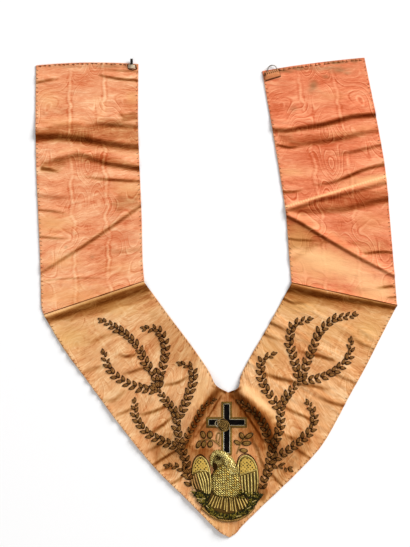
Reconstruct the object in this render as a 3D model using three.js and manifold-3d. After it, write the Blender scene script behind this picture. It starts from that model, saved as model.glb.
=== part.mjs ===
// Neck collar of moire ribbon, lying flat: two neck straps, two embroidered fronts that meet in a point,
// a dress hook and eye at the neck ends, and raised metal-thread embroidery.
import * as THREE from "three";
import { mergeVertices } from "three/addons/utils/BufferGeometryUtils.js";
import Module from "manifold-3d";

const wasm = await Module();
wasm.setup();

// All sizes are millimetres. Layout places [x, y] are read on the table that the collar lies on:
// x to the right and y down, so that the collar's own middle is layoutMiddle.
const layoutMiddle = [216.239, 297.61];
const clothThickness = 2;
const seamGap = 0.4;
const strapGrid = { rows: 32, columns: 8 };
const frontGrid = { rows: 30, columns: 10 };
const bowFade = 6;
const liftCut = 0.12;
const needleworkGap = 0.7;
const leafPlate = { low: 0.15, high: 0.8 };
const stemHeight = 1;
const stemWidth = 1.3;
const stemStep = 9;
const leafSize = { length: 7.4, width: 3.9, spacing: 8.2, angle: 42, smallest: 0.65 };
const branchClearance = 0.45;

const colours = {
  strap: { color: 0xe59a72, roughness: 0.6, metalness: 0 },
  front: { color: 0xdfa368, roughness: 0.6, metalness: 0 },
  bronzeThread: { color: 0x6b4a26, roughness: 0.5, metalness: 0.4 },
  goldThread: { color: 0xb99f4a, roughness: 0.4, metalness: 0.6 },
  blackVelvet: { color: 0x15120f, roughness: 0.9, metalness: 0 },
  greenChenille: { color: 0x4c5a1c, roughness: 0.9, metalness: 0 },
  creamThread: { color: 0xd9c7a2, roughness: 0.8, metalness: 0 },
  blackMetal: { color: 0x201d1b, roughness: 0.4, metalness: 0.9 },
  steel: { color: 0x8d8d8a, roughness: 0.3, metalness: 0.9 },
};

// Corners where the ribbon lengths meet
const leftMitre = { outer: [43.8, 315.6], inner: [144.3, 282.2] };
const rightMitre = { outer: [397.2, 305.6], inner: [291.6, 283] };
const notch = [228.2, 392.6];
const point = [229.6, 537.8];

// Each ribbon length runs between two edges, from its start line to its end line
const ribbons = {
  left_strap: {
    outer: [[35.7, 65.2], [35.3, 120], [36, 170], [38.4, 225], [40.4, 275], [41.4, 308], leftMitre.outer],
    inner: [[138.3, 63.8], [138, 120], [139.4, 165], [141.5, 215], [142.8, 265], leftMitre.inner],
    endBow: 2.2,
    grid: strapGrid,
    colour: colours.strap,
  },
  right_strap: {
    outer: [[364.6, 57.4], [374.5, 107], [385.6, 170], [390.2, 220], [394, 265], rightMitre.outer],
    inner: [[262.2, 70.8], [270.4, 118], [279.2, 170], [286, 215], [289.1, 255], rightMitre.inner],
    endBow: 1.2,
    grid: strapGrid,
    colour: colours.strap,
  },
  left_front: {
    outer: [leftMitre.outer, [64.3, 350], [86.5, 380], [123.4, 430], [156.6, 470], [187.2, 500], [219.4, 531.8], point],
    inner: [leftMitre.inner, [171.2, 319], [193, 348], [209.2, 372], [216.4, 385.4], notch],
    endBow: 0,
    grid: frontGrid,
    colour: colours.front,
  },
  right_front: {
    outer: [rightMitre.outer, [376.4, 346], [366.4, 366], [349.6, 396], [333.8, 426], [321.6, 446], [304, 466],
      [242.4, 526], [236, 533.6], point],
    inner: [rightMitre.inner, [266, 330], [249.8, 358], [240.4, 377], [238.2, 387.4], notch],
    endBow: 0,
    grid: frontGrid,
    colour: colours.front,
  },
};

// Ridges of the ribbon, each a rounded crest along a line. above and below are the crest's
// half widths on the side towards the neck and on the side towards the point.
const ridges = [
  { name: "left neck pucker", from: [97, 84], to: [137, 86], crest: 1.2, above: 4, below: 8 },
  { name: "left valley, neck side", from: [37, 128], to: [138, 138], crest: 2.2, above: 10, below: 5.5 },
  { name: "left valley, lower side", from: [37, 149], to: [138, 157], crest: 2.6, above: 5.5, below: 6 },
  { name: "left second valley", from: [40, 173], to: [138, 175], crest: 1.6, above: 6, below: 12 },
  { name: "left slanting crease", from: [42, 267], to: [140, 201], crest: 2.6, above: 10, below: 5 },
  { name: "right valley, neck side", from: [274, 126], to: [375, 107], crest: 2, above: 10, below: 5.5 },
  { name: "right valley, lower side", from: [278, 140], to: [378, 121], crest: 2.2, above: 5.5, below: 5.5 },
  { name: "right second valley", from: [280, 156], to: [381, 137], crest: 1.5, above: 6, below: 12 },
  { name: "right slanting crease", from: [287, 208], to: [383, 177], crest: 2.6, above: 10, below: 6 },
  { name: "right long crease", from: [288, 212], to: [395, 271], crest: 2.6, above: 10, below: 5 },
  { name: "left mitre", from: leftMitre.outer, to: leftMitre.inner, crest: 3, above: 6, below: 11 },
  { name: "right mitre", from: rightMitre.outer, to: rightMitre.inner, crest: 3, above: 6, below: 10 },
  { name: "left notch swell", from: [209, 391], to: [187, 432], crest: 6.4, above: 20, below: 19 },
  { name: "right notch swell", from: [245, 389], to: [268, 430], crest: 6.4, above: 19, below: 20 },
  { name: "left outer pucker", from: [118, 402], to: [150, 382], crest: 1.4, above: 9, below: 11 },
  { name: "right outer pucker", from: [330, 402], to: [300, 376], crest: 1.4, above: 9, below: 11 },
];

const toCollar = ([x, y]) => [x - layoutMiddle[0], layoutMiddle[1] - y];
const toLayout = (x, y) => [x + layoutMiddle[0], layoutMiddle[1] - y];

function ridgeHeight(ridge, x, y) {
  const [ax, ay] = ridge.from;
  const [bx, by] = ridge.to;
  const length = Math.hypot(bx - ax, by - ay);
  const along = ((x - ax) * (bx - ax) + (y - ay) * (by - ay)) / length;
  const across = ((bx - ax) * (y - ay) - (by - ay) * (x - ax)) / length;
  const below = across * Math.sign(bx - ax) > 0;
  const overshoot = Math.max(0, -along, along - length);
  const reach = Math.hypot(across, overshoot) / (below ? ridge.below : ridge.above);
  return ridge.crest * Math.exp(-reach * reach);
}

// Height of the ribbon's underside over the table, at a place of the collar's own frame
function liftAt(x, y) {
  const [layoutX, layoutY] = toLayout(x, y);
  const heights = ridges.map((ridge) => ridgeHeight(ridge, layoutX, layoutY));
  return Math.max(0, Math.hypot(...heights) - liftCut);
}

const needleworkFloor = (x, y) => liftAt(x, y) + clothThickness + needleworkGap;

function smoothLine(places) {
  const points = places.map(toCollar).map(([x, y]) => new THREE.Vector3(x, y, 0));
  return new THREE.CatmullRomCurve3(points, false, "centripetal");
}

// A closed body from corner places and triangles, turned so that its faces point out
function closedBody(corners, triangles) {
  const volume = triangles.reduce((sum, [a, b, c]) => {
    return sum + corners[a].dot(corners[b].clone().cross(corners[c]));
  }, 0);
  const index = triangles.flatMap(([a, b, c]) => (volume > 0 ? [a, b, c] : [a, c, b]));
  const geometry = new THREE.BufferGeometry().setFromPoints(corners);
  geometry.setIndex(index);
  geometry.computeVertexNormals();
  return geometry;
}

// A wall between two faces of the same grid, low and high
function gridWall(rows, columns, low, high) {
  const count = (rows + 1) * (columns + 1);
  const at = (row, column) => row * (columns + 1) + column;
  const triangles = [];
  const quad = (a, b, c, d) => triangles.push([a, b, c], [a, c, d]);
  for (let row = 0; row < rows; row++) {
    for (let column = 0; column < columns; column++) {
      const around = [at(row, column), at(row, column + 1), at(row + 1, column + 1), at(row + 1, column)];
      quad(...around);
      quad(...around.map((corner) => corner + count).reverse());
    }
  }
  const rim = [];
  for (let column = 0; column < columns; column++) rim.push(at(0, column));
  for (let row = 0; row < rows; row++) rim.push(at(row, columns));
  for (let column = columns; column > 0; column--) rim.push(at(rows, column));
  for (let row = rows; row > 0; row--) rim.push(at(row, 0));
  rim.forEach((corner, step) => {
    const next = rim[(step + 1) % rim.length];
    quad(next, corner, corner + count, next + count);
  });
  return closedBody([...low, ...high], triangles);
}

function ribbonGeometry({ outer, inner, endBow, grid }) {
  const outerLine = smoothLine(outer);
  const innerLine = smoothLine(inner);
  const start = seamGap / 2 / innerLine.getLength();
  const low = [];
  const high = [];
  for (let row = 0; row <= grid.rows; row++) {
    const along = start + (1 - 2 * start) * (row / grid.rows);
    const outerPlace = outerLine.getPointAt(along);
    const innerPlace = innerLine.getPointAt(along);
    for (let column = 0; column <= grid.columns; column++) {
      const across = column / grid.columns;
      const place = outerPlace.clone().lerp(innerPlace, across);
      const fade = Math.max(0, 1 - (bowFade * row) / grid.rows);
      place.y += endBow * 4 * across * (1 - across) * fade;
      const lift = liftAt(place.x, place.y);
      low.push(new THREE.Vector3(place.x, place.y, lift));
      high.push(new THREE.Vector3(place.x, place.y, lift + clothThickness));
    }
  }
  return gridWall(grid.rows, grid.columns, low, high);
}

function toSolid(geometry) {
  geometry.deleteAttribute("normal");
  geometry.deleteAttribute("uv");
  const merged = mergeVertices(geometry, 1e-4);
  const mesh = { numProp: 3, vertProperties: merged.attributes.position.array, triVerts: merged.index.array };
  return new wasm.Manifold(new wasm.Mesh(mesh));
}

// A flat plate of an outline, from one height to another
function plate(outline, low, high) {
  const shape = new THREE.Shape(outline.map(([x, y]) => new THREE.Vector2(x, y)));
  return new THREE.ExtrudeGeometry(shape, { depth: high - low, bevelEnabled: false }).translate(0, 0, low);
}

// A plate that follows the ribbon
function laidPlate(outline, low, high) {
  const geometry = plate(outline, low, high);
  const position = geometry.attributes.position;
  for (let corner = 0; corner < position.count; corner++) {
    const floor = needleworkFloor(position.getX(corner), position.getY(corner));
    position.setZ(corner, position.getZ(corner) + floor);
  }
  return geometry;
}

const joined = (solids) => solids.reduce((sum, solid) => sum.add(solid));

// Everything over an outline, for keeping neighbours apart
const column = (outline) => toSolid(plate(outline, -5, 30));

function largestPart(solid) {
  const parts = solid.decompose();
  return parts.reduce((best, part) => (part.volume() > best.volume() ? part : best));
}

function toGeometry(solid) {
  const mesh = solid.getMesh();
  const geometry = new THREE.BufferGeometry();
  geometry.setAttribute("position", new THREE.Float32BufferAttribute(mesh.vertProperties, 3));
  geometry.setIndex(Array.from(mesh.triVerts));
  geometry.computeVertexNormals();
  return geometry;
}

function leafOutline([x, y], heading, length, width) {
  const corner = (along, across) => [
    x + along * Math.cos(heading) - across * Math.sin(heading),
    y + along * Math.sin(heading) + across * Math.cos(heading),
  ];
  return [corner(0, 0), corner(length * 0.5, -width / 2), corner(length, 0), corner(length * 0.5, width / 2)];
}

// A stem along a line, a flat bar that follows the ribbon
function stemSolid(line, width) {
  const steps = Math.ceil(line.getLength() / stemStep);
  const rings = [];
  for (let step = 0; step <= steps; step++) {
    const place = line.getPointAt(step / steps);
    const tangent = line.getTangentAt(step / steps);
    const corner = (side, height) => {
      const x = place.x - (side * tangent.y * width) / 2;
      const y = place.y + (side * tangent.x * width) / 2;
      return new THREE.Vector3(x, y, needleworkFloor(x, y) + height);
    };
    rings.push([corner(1, 0), corner(1, stemHeight), corner(-1, stemHeight), corner(-1, 0)]);
  }
  return toSolid(loftedRings(rings));
}

const leafSolid = (outline) => toSolid(laidPlate(outline, leafPlate.low, leafPlate.high));

function stripOutline(line, width) {
  const steps = Math.ceil(line.getLength() / stemStep);
  const left = [];
  const right = [];
  for (let step = 0; step <= steps; step++) {
    const place = line.getPointAt(step / steps);
    const tangent = line.getTangentAt(step / steps);
    left.push([place.x - (tangent.y * width) / 2, place.y + (tangent.x * width) / 2]);
    right.unshift([place.x + (tangent.y * width) / 2, place.y - (tangent.x * width) / 2]);
  }
  return [...left, ...right];
}

// The leaves of a branch: pairs that point to its tip, and one on the tip.
// Routes run from the tip to the foot, and the leaves grow larger on the way.
function branchLeaves(line, grow) {
  const length = line.getLength();
  const pairs = Math.max(2, Math.round(length / leafSize.spacing));
  const turn = THREE.MathUtils.degToRad(leafSize.angle);
  const leafAt = (at, side) => {
    const place = line.getPointAt(at);
    const tangent = line.getTangentAt(at);
    const heading = Math.atan2(-tangent.y, -tangent.x) + side * turn;
    const size = leafSize.smallest + (1 - leafSize.smallest) * Math.min(1, (at * length) / 40);
    return leafOutline([place.x, place.y], heading, leafSize.length * size + grow, leafSize.width * size + 2 * grow);
  };
  const outlines = [leafAt(stemWidth / length, 0)];
  for (let pair = 1; pair < pairs; pair++) {
    outlines.push(leafAt(pair / pairs, 1), leafAt((pair - 0.3) / pairs, -1));
  }
  return outlines;
}

// Routes of the branches, tip first
const branches = {
  left_stem: [[158, 391], [168, 403], [175, 414], [177, 428], [180, 442], [186, 462], [188.6, 478], [191, 486]],
  left_branch_1: [[103, 321], [121, 331], [136, 345], [146, 362], [154, 376], [156.4, 388]],
  left_branch_2: [[146, 328], [158, 330], [165, 344], [164, 360], [160, 376], [159, 388]],
  left_branch_3: [[104, 354], [110, 370], [124, 382], [141, 388], [155.4, 390.6]],
  left_branch_4: [[182, 364], [192, 368], [193, 382], [186, 402], [178.6, 418]],
  left_branch_5: [[135, 403], [136, 418], [148, 434], [163, 441], [182, 450]],
  left_branch_6: [[169, 466], [180, 468], [188.6, 475]],
  left_branch_7: [[213, 401], [205, 405], [198, 417], [190, 431], [184, 444]],
  right_stem: [[299, 382], [290, 392], [281, 408], [280, 428], [272, 450], [268, 472], [263, 483], [262.6, 489]],
  right_branch_1: [[353, 315.5], [334, 319], [320, 332], [311, 352], [301.6, 377]],
  right_branch_2: [[308, 320], [294, 325], [290, 342], [295, 362], [299, 378]],
  right_branch_3: [[351, 342], [350, 356], [336, 370], [319, 378], [302, 380.6]],
  right_branch_4: [[272, 355], [262.6, 360], [262.6, 380], [270, 395], [279.6, 408]],
  right_branch_5: [[309, 404], [314, 414], [311, 430], [296, 444], [275, 459]],
  right_branch_6: [[288, 469], [280, 465], [271.6, 464.6]],
  right_branch_7: [[241, 403], [253, 411], [264, 426], [271, 443]],
};

// Small leaves beside the cross, each laid along a heading in degrees, and their stems
const sprigs = {
  left_sprig: {
    stems: [[[199, 440], [206, 439], [213, 441], [220, 446]], [[218, 432], [217.4, 438], [218, 444]]],
    leaves: [
      { foot: [205, 439], length: 8, width: 5, heading: 118 },
      { foot: [210, 440.2], length: 9, width: 5, heading: 84 },
      { foot: [201, 439.6], length: 7.5, width: 5, heading: 236 },
      { foot: [206, 439.2], length: 8, width: 5, heading: 252 },
      { foot: [211.4, 440], length: 7, width: 5, heading: 262 },
    ],
  },
  right_sprig: {
    stems: [[[244, 438], [240, 446], [237.4, 454]]],
    leaves: [
      { foot: [243.4, 439.4], length: 8, width: 5, heading: 118 },
      { foot: [243.6, 439], length: 10, width: 5.4, heading: 32 },
      { foot: [241.2, 443.4], length: 10, width: 5, heading: 4 },
      { foot: [240.4, 445], length: 8, width: 4.6, heading: 150 },
      { foot: [239, 449], length: 9, width: 4.6, heading: -14 },
    ],
  },
};

// The cross stands between the swells, on four arms of different lengths
const cross = {
  middle: [226.7, 422.5],
  field: { up: 18.2, down: 23, left: 17.8, right: 17.8, width: 5.4 },
  cord: 2.4,
  fit: 0.35,
  fieldHeight: 1,
  cordHeight: 1.6,
};
const rose = { middle: [223.4, 425], radius: 6.8, height: 3.4, sides: 20, seat: 1 };

// The bird, each outline in order round its edge
const bird = {
  left_wing: {
    height: 3,
    outline: [[208.6, 470], [205, 461], [200.6, 456.4], [195.8, 459.4], [193, 466], [192.4, 476],
      [195, 484], [199, 491], [204, 493], [210, 489], [209.6, 479]],
  },
  right_wing: {
    height: 3,
    outline: [[240.2, 470], [241, 462], [245, 457.4], [250, 458.6], [254.4, 464], [256.4, 472],
      [256.4, 482], [254, 491], [249, 494.6], [243, 491], [240.6, 480]],
  },
  bird_body: {
    height: 6,
    outline: [[224, 462.6], [216, 465.8], [212, 473], [210.8, 482], [213.6, 490.6], [220, 495.4],
      [228, 496.6], [235.4, 493.6], [239, 486], [239, 476], [237.6, 468.8], [235.6, 465.4]],
  },
  tail_fan: {
    height: 2.4,
    outline: [[213.6, 494.6], [220, 497.4], [228, 498.4], [236, 496], [241.6, 492.6], [246, 500],
      [245, 504.6], [238, 508.6], [228, 510.6], [217, 508.4], [209.6, 502]],
  },
};
const neck = [
  { at: [231.8, 462.2], width: 7.6, height: 5.4 },
  { at: [230, 457.4], width: 6.6, height: 5 },
  { at: [226.2, 453.8], width: 6.2, height: 5 },
  { at: [220.4, 452.2], width: 6.4, height: 5.2 },
  { at: [215.2, 453.8], width: 6, height: 4.6 },
  { at: [212, 457.2], width: 3.6, height: 3 },
  { at: [211, 460.6], width: 2.4, height: 2.2 },
  { at: [212, 464], width: 1.2, height: 1.4 },
];
const nest = [
  { at: [195.4, 491.6], width: 4, height: 1.8 },
  { at: [199.4, 499], width: 8, height: 2.6 },
  { at: [206.6, 507.4], width: 9, height: 3 },
  { at: [217, 515], width: 7.4, height: 3 },
  { at: [229, 517.6], width: 6.4, height: 3 },
  { at: [241.4, 514.6], width: 7.4, height: 3 },
  { at: [250.6, 507], width: 9, height: 3 },
  { at: [256, 499.6], width: 7.6, height: 2.6 },
  { at: [258.6, 493.4], width: 4, height: 1.8 },
];

// Fastenings at the neck ends
const hook = { at: [131.6, 68.6], wire: 1.3, width: 2.5, prong: 9.4, throat: 2.2, back: 6 };
const hookTab = { width: 7, length: 3.6, thickness: 1 };
const eye = { middle: [272.4, 69.8], outer: 10.4, wire: 1.2 };
const eyeTab = { width: 15, length: 8.6, thickness: 1.2, turn: 10, middle: [272.6, 75.9] };

function sprigSolid({ stems, leaves }) {
  const stemSolids = stems.map((route) => stemSolid(smoothLine(route), stemWidth));
  const leafSolids = leaves.map(({ foot, length, width, heading }) => {
    return leafSolid(leafOutline(toCollar(foot), THREE.MathUtils.degToRad(heading), length, width));
  });
  return joined([...stemSolids, ...leafSolids]);
}

// Outline of the cross, moved out by grow from the edge of its black field
function crossOutline(grow) {
  const { up, down, left, right, width } = cross.field;
  const [x, y] = toCollar(cross.middle);
  const half = width / 2 + grow;
  return [
    [x - half, y - down - grow], [x + half, y - down - grow], [x + half, y - half],
    [x + right + grow, y - half], [x + right + grow, y + half], [x + half, y + half],
    [x + half, y + up + grow], [x - half, y + up + grow], [x - half, y + half],
    [x - left - grow, y + half], [x - left - grow, y - half], [x - half, y - half],
  ];
}

// Rings of corners, each as long as the last, closed by a fan at both ends
function loftedRings(rings) {
  const sides = rings[0].length;
  const corners = rings.flat();
  const triangles = [];
  for (let ring = 0; ring < rings.length - 1; ring++) {
    for (let side = 0; side < sides; side++) {
      const next = (side + 1) % sides;
      const [a, b] = [ring * sides + side, ring * sides + next];
      triangles.push([a, b, b + sides], [a, b + sides, a + sides]);
    }
  }
  [rings[0], rings[rings.length - 1]].forEach((ring, end) => {
    const centre = ring.reduce((sum, corner) => sum.add(corner), new THREE.Vector3()).divideScalar(sides);
    const first = end === 0 ? 0 : (rings.length - 1) * sides;
    corners.push(centre);
    for (let side = 0; side < sides; side++) {
      const pair = [first + side, first + ((side + 1) % sides)];
      triangles.push([corners.length - 1, ...(end === 0 ? pair.reverse() : pair)]);
    }
  });
  return closedBody(corners, triangles);
}

const middleOf = (edge) => {
  return edge.reduce(([sx, sy], [x, y]) => [sx + x / edge.length, sy + y / edge.length], [0, 0]);
};

// An outline moved away from its own middle
function grownOutline(edge, grow) {
  const [mx, my] = middleOf(edge);
  return edge.map(([x, y]) => {
    const reach = 1 + grow / Math.hypot(x - mx, y - my);
    return [mx + (x - mx) * reach, my + (y - my) * reach];
  });
}

// A padded motif: a flat foot, upright edge and a rounded top
function padGeometry({ outline, height }) {
  const edge = outline.map(toCollar);
  const middle = middleOf(edge);
  const levels = [
    { scale: 1, rise: 0 },
    { scale: 1, rise: 0.35 },
    { scale: 0.8, rise: 0.75 },
    { scale: 0.45, rise: 0.96 },
  ];
  const rings = levels.map(({ scale, rise }) => edge.map(([x, y]) => {
    const [px, py] = [middle[0] + (x - middle[0]) * scale, middle[1] + (y - middle[1]) * scale];
    return new THREE.Vector3(px, py, needleworkFloor(px, py) + rise * height);
  }));
  return loftedRings(rings);
}

// A half-round roll along a route of sections, lying on the ribbon
function rollGeometry(sections, steps) {
  const line = smoothLine(sections.map(({ at }) => at));
  const arc = [[-1, 0], [-0.9, 0.5], [-0.5, 0.88], [0, 1], [0.5, 0.88], [0.9, 0.5], [1, 0]];
  const rings = [];
  for (let step = 0; step <= steps; step++) {
    const place = (step / steps) * (sections.length - 1);
    const first = Math.min(Math.floor(place), sections.length - 2);
    const blend = place - first;
    const mix = (key) => THREE.MathUtils.lerp(sections[first][key], sections[first + 1][key], blend);
    const at = line.getPoint(step / steps);
    const tangent = line.getTangent(step / steps);
    rings.push(arc.map(([across, up]) => {
      const x = at.x - (tangent.y * across * mix("width")) / 2;
      const y = at.y + (tangent.x * across * mix("width")) / 2;
      return new THREE.Vector3(x, y, needleworkFloor(x, y) + up * mix("height"));
    }));
  }
  return loftedRings(rings);
}

function roseGeometry() {
  const profile = [[0, 0], [0.92, 0], [1, 0.2], [0.94, 0.55], [0.72, 0.9], [0.5, 1], [0.3, 0.8], [0, 0.95]];
  const points = profile.map(([out, up]) => new THREE.Vector2(out * rose.radius, up * rose.height));
  const geometry = new THREE.LatheGeometry(points, rose.sides).rotateX(Math.PI / 2);
  const [x, y] = toCollar(rose.middle);
  return geometry.translate(x, y, needleworkFloor(x, y) + cross.cordHeight + rose.seat);
}

// Hook of doubled wire: a shank on the ribbon that leaves the neck end, turns up and comes back over itself
function hookGeometry() {
  const [x, y] = toCollar(hook.at);
  const low = liftAt(x, y) + clothThickness + 0.3 + hook.wire / 2;
  const high = low + hook.wire + hook.throat;
  const turn = (high - low) / 2;
  const tip = y + hook.prong;
  const route = new THREE.CurvePath();
  const at = (py, pz) => new THREE.Vector3(x, py, pz);
  route.add(new THREE.LineCurve3(at(y, low), at(tip - turn, low)));
  const bend = [0, 1, 2, 3, 4].map((step) => (step / 4) * Math.PI);
  const round = bend.map((angle) => at(tip - turn + turn * Math.sin(angle), (low + high) / 2 - turn * Math.cos(angle)));
  route.add(new THREE.CatmullRomCurve3(round));
  route.add(new THREE.LineCurve3(at(tip - turn, high), at(tip - turn - hook.back + 2, high)));
  const section = new THREE.Shape().absellipse(0, 0, hook.wire / 2, hook.width / 2, 0, 2 * Math.PI);
  return new THREE.ExtrudeGeometry(section, { steps: 18, curveSegments: 3, extrudePath: route });
}

// Thread bar over the hook's shank, with a foot on each side
function hookTabGeometry() {
  const [x, y] = toCollar([hook.at[0], hook.at[1] - 0.4]);
  const floor = liftAt(x, y) + clothThickness + 0.3;
  const inner = hook.width / 2 + 0.35;
  const top = hook.wire + 0.35;
  const half = hookTab.width / 2;
  const section = new THREE.Shape([
    new THREE.Vector2(-half, 0), new THREE.Vector2(-inner, 0), new THREE.Vector2(-inner, top),
    new THREE.Vector2(inner, top), new THREE.Vector2(inner, 0), new THREE.Vector2(half, 0),
    new THREE.Vector2(half * 0.72, top * 0.7), new THREE.Vector2(inner + 0.5, top + hookTab.thickness),
    new THREE.Vector2(-inner - 0.5, top + hookTab.thickness), new THREE.Vector2(-half * 0.72, top * 0.7),
  ]);
  const bar = new THREE.ExtrudeGeometry(section, { depth: hookTab.length, bevelEnabled: false });
  return bar.rotateX(Math.PI / 2).translate(x, y + hookTab.length / 2 + 1.6, floor);
}

const eyeFloor = () => liftAt(...toCollar(eye.middle)) + clothThickness + 0.3;

function eyeGeometry() {
  const section = [];
  const sides = 6;
  const middle = (eye.outer - eye.wire) / 2;
  for (let side = 0; side <= sides; side++) {
    const angle = (side / sides) * 2 * Math.PI;
    const out = middle + (eye.wire / 2) * Math.cos(angle);
    section.push(new THREE.Vector2(out, (eye.wire / 2) * Math.sin(angle)));
  }
  const ring = new THREE.LatheGeometry(section, 24).rotateX(Math.PI / 2);
  const [x, y] = toCollar(eye.middle);
  return ring.translate(x, y, eyeFloor() + eye.wire / 2);
}

// Folded silk over the lower half of the eye, down to the ribbon on its lower side
function eyeTabGeometry() {
  const fold = eye.wire + 0.3;
  const under = eyeTab.length / 2;
  const low = -under;
  const clearOfEye = low + 1.2;
  const section = new THREE.Shape([
    new THREE.Vector2(low, 0), new THREE.Vector2(clearOfEye, 0), new THREE.Vector2(clearOfEye, fold),
    new THREE.Vector2(under, fold), new THREE.Vector2(under, fold + eyeTab.thickness),
    new THREE.Vector2(clearOfEye - 0.4, fold + eyeTab.thickness), new THREE.Vector2(low, eyeTab.thickness * 0.6),
  ]);
  const strip = new THREE.ExtrudeGeometry(section, { depth: eyeTab.width, bevelEnabled: false });
  strip.translate(0, 0, -eyeTab.width / 2);
  const towardsNeck = new THREE.Vector3(0, 1, 0);
  const up = new THREE.Vector3(0, 0, 1);
  const across = new THREE.Vector3(1, 0, 0);
  strip.applyMatrix4(new THREE.Matrix4().makeBasis(towardsNeck, up, across));
  const [x, y] = toCollar(eyeTab.middle);
  strip.rotateZ(THREE.MathUtils.degToRad(eyeTab.turn));
  return strip.translate(x, y, eyeFloor());
}

const group = new THREE.Group();

function addPiece(name, geometry, colour) {
  const mesh = new THREE.Mesh(geometry, new THREE.MeshStandardMaterial(colour));
  mesh.name = name;
  group.add(mesh);
}

Object.entries(ribbons).forEach(([name, ribbon]) => addPiece(name, ribbonGeometry(ribbon), ribbon.colour));

// Each branch is cut back from the motifs and branches before it, so that neighbours stay apart
const crossEdge = cross.fit + cross.cord;
const motifs = Object.values(bird).map(({ outline }) => grownOutline(outline.map(toCollar), branchClearance));
let taken = joined([crossOutline(crossEdge + branchClearance), ...motifs].map(column));
Object.entries(branches).forEach(([name, route]) => {
  const line = smoothLine(route);
  const whole = joined([stemSolid(line, stemWidth), ...branchLeaves(line, 0).map(leafSolid)]);
  addPiece(name, toGeometry(largestPart(whole.subtract(taken))), colours.bronzeThread);
  const edge = stripOutline(line, stemWidth + 2 * branchClearance);
  taken = taken.add(joined([edge, ...branchLeaves(line, branchClearance)].map(column)));
});

const cordHole = toSolid(plate(crossOutline(cross.fit), -5, 30));
const cordBlank = toSolid(laidPlate(crossOutline(crossEdge), 0, cross.cordHeight));
addPiece("cross_field", laidPlate(crossOutline(0), 0, cross.fieldHeight), colours.blackVelvet);
addPiece("cross_cord", toGeometry(cordBlank.subtract(cordHole)), colours.goldThread);
addPiece("rose", roseGeometry(), colours.goldThread);
Object.entries(sprigs).forEach(([name, sprig]) => {
  addPiece(name, toGeometry(sprigSolid(sprig)), colours.goldThread);
});
Object.entries(bird).forEach(([name, motif]) => addPiece(name, padGeometry(motif), colours.goldThread));
addPiece("bird_neck", rollGeometry(neck, 16), colours.goldThread);
addPiece("nest", rollGeometry(nest, 24), colours.greenChenille);

addPiece("hook", hookGeometry(), colours.blackMetal);
addPiece("hook_tab", hookTabGeometry(), colours.creamThread);
addPiece("eye", eyeGeometry(), colours.steel);
addPiece("eye_tab", eyeTabGeometry(), colours.strap);

export default group;
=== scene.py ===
import math

import bpy
import numpy as np
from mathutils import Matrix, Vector


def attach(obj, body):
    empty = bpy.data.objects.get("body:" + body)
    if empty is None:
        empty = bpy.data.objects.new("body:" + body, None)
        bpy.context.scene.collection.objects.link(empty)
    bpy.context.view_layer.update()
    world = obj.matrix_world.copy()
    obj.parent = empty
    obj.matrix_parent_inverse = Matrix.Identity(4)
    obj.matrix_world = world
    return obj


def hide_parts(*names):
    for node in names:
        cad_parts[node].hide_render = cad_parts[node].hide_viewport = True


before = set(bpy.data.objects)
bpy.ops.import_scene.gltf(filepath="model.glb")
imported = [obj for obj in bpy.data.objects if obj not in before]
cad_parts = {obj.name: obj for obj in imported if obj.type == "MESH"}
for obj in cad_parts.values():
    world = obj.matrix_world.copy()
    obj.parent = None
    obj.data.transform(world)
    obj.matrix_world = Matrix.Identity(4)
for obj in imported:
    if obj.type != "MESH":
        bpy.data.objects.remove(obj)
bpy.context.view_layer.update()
scene = bpy.context.scene
mm = 0.001

# Layout places are in mm on the table that the collar lies on, x to the right and y down
layout = {"middle": (216.239, 297.61), "viewWidth": 410, "viewHeight": 547}


def toFrame(places):
    x, y = np.asarray(places, float).T
    return np.stack([(x - layout["middle"][0]) * mm, (layout["middle"][1] - y) * mm], axis=-1)


def toLayout(x, y):
    return x / mm + layout["middle"][0], layout["middle"][1] - y / mm


def linear(*colour):    # a screen colour, each part from 0 to 255, as shares of light
    return tuple(((c / 255 + 0.055) / 1.055) ** 2.4 if c > 10 else c / 255 / 12.92 for c in colour)


def addObject(name, data):
    made = bpy.data.objects.new(name, data)
    scene.collection.objects.link(made)
    return made


def setPlain(node, values):    # values that are the same all over a surface
    for key, value in values.items():
        node.inputs[key].default_value = value


# Camera, floor and light
studio = {
    "lens": 120, "sensor": 36, "aimHeight": 0.003, "clipStart": 0.05,
    "floorSize": 6, "floorDrop": 0.0002,
    "floorColour": linear(247, 247, 248), "floorRough": 0.9, "floorGloss": 0.1,
    "keyFrom": (2.5, 2.35, 2.3), "keySize": 2.2, "keyPower": 192,
    "fillFrom": (-0.9, -1.3, 2.4), "fillSize": 2.4, "fillPower": 16,
    "skyStrength": 0.42, "skyColour": (1.0, 0.985, 0.96),
}


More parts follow.
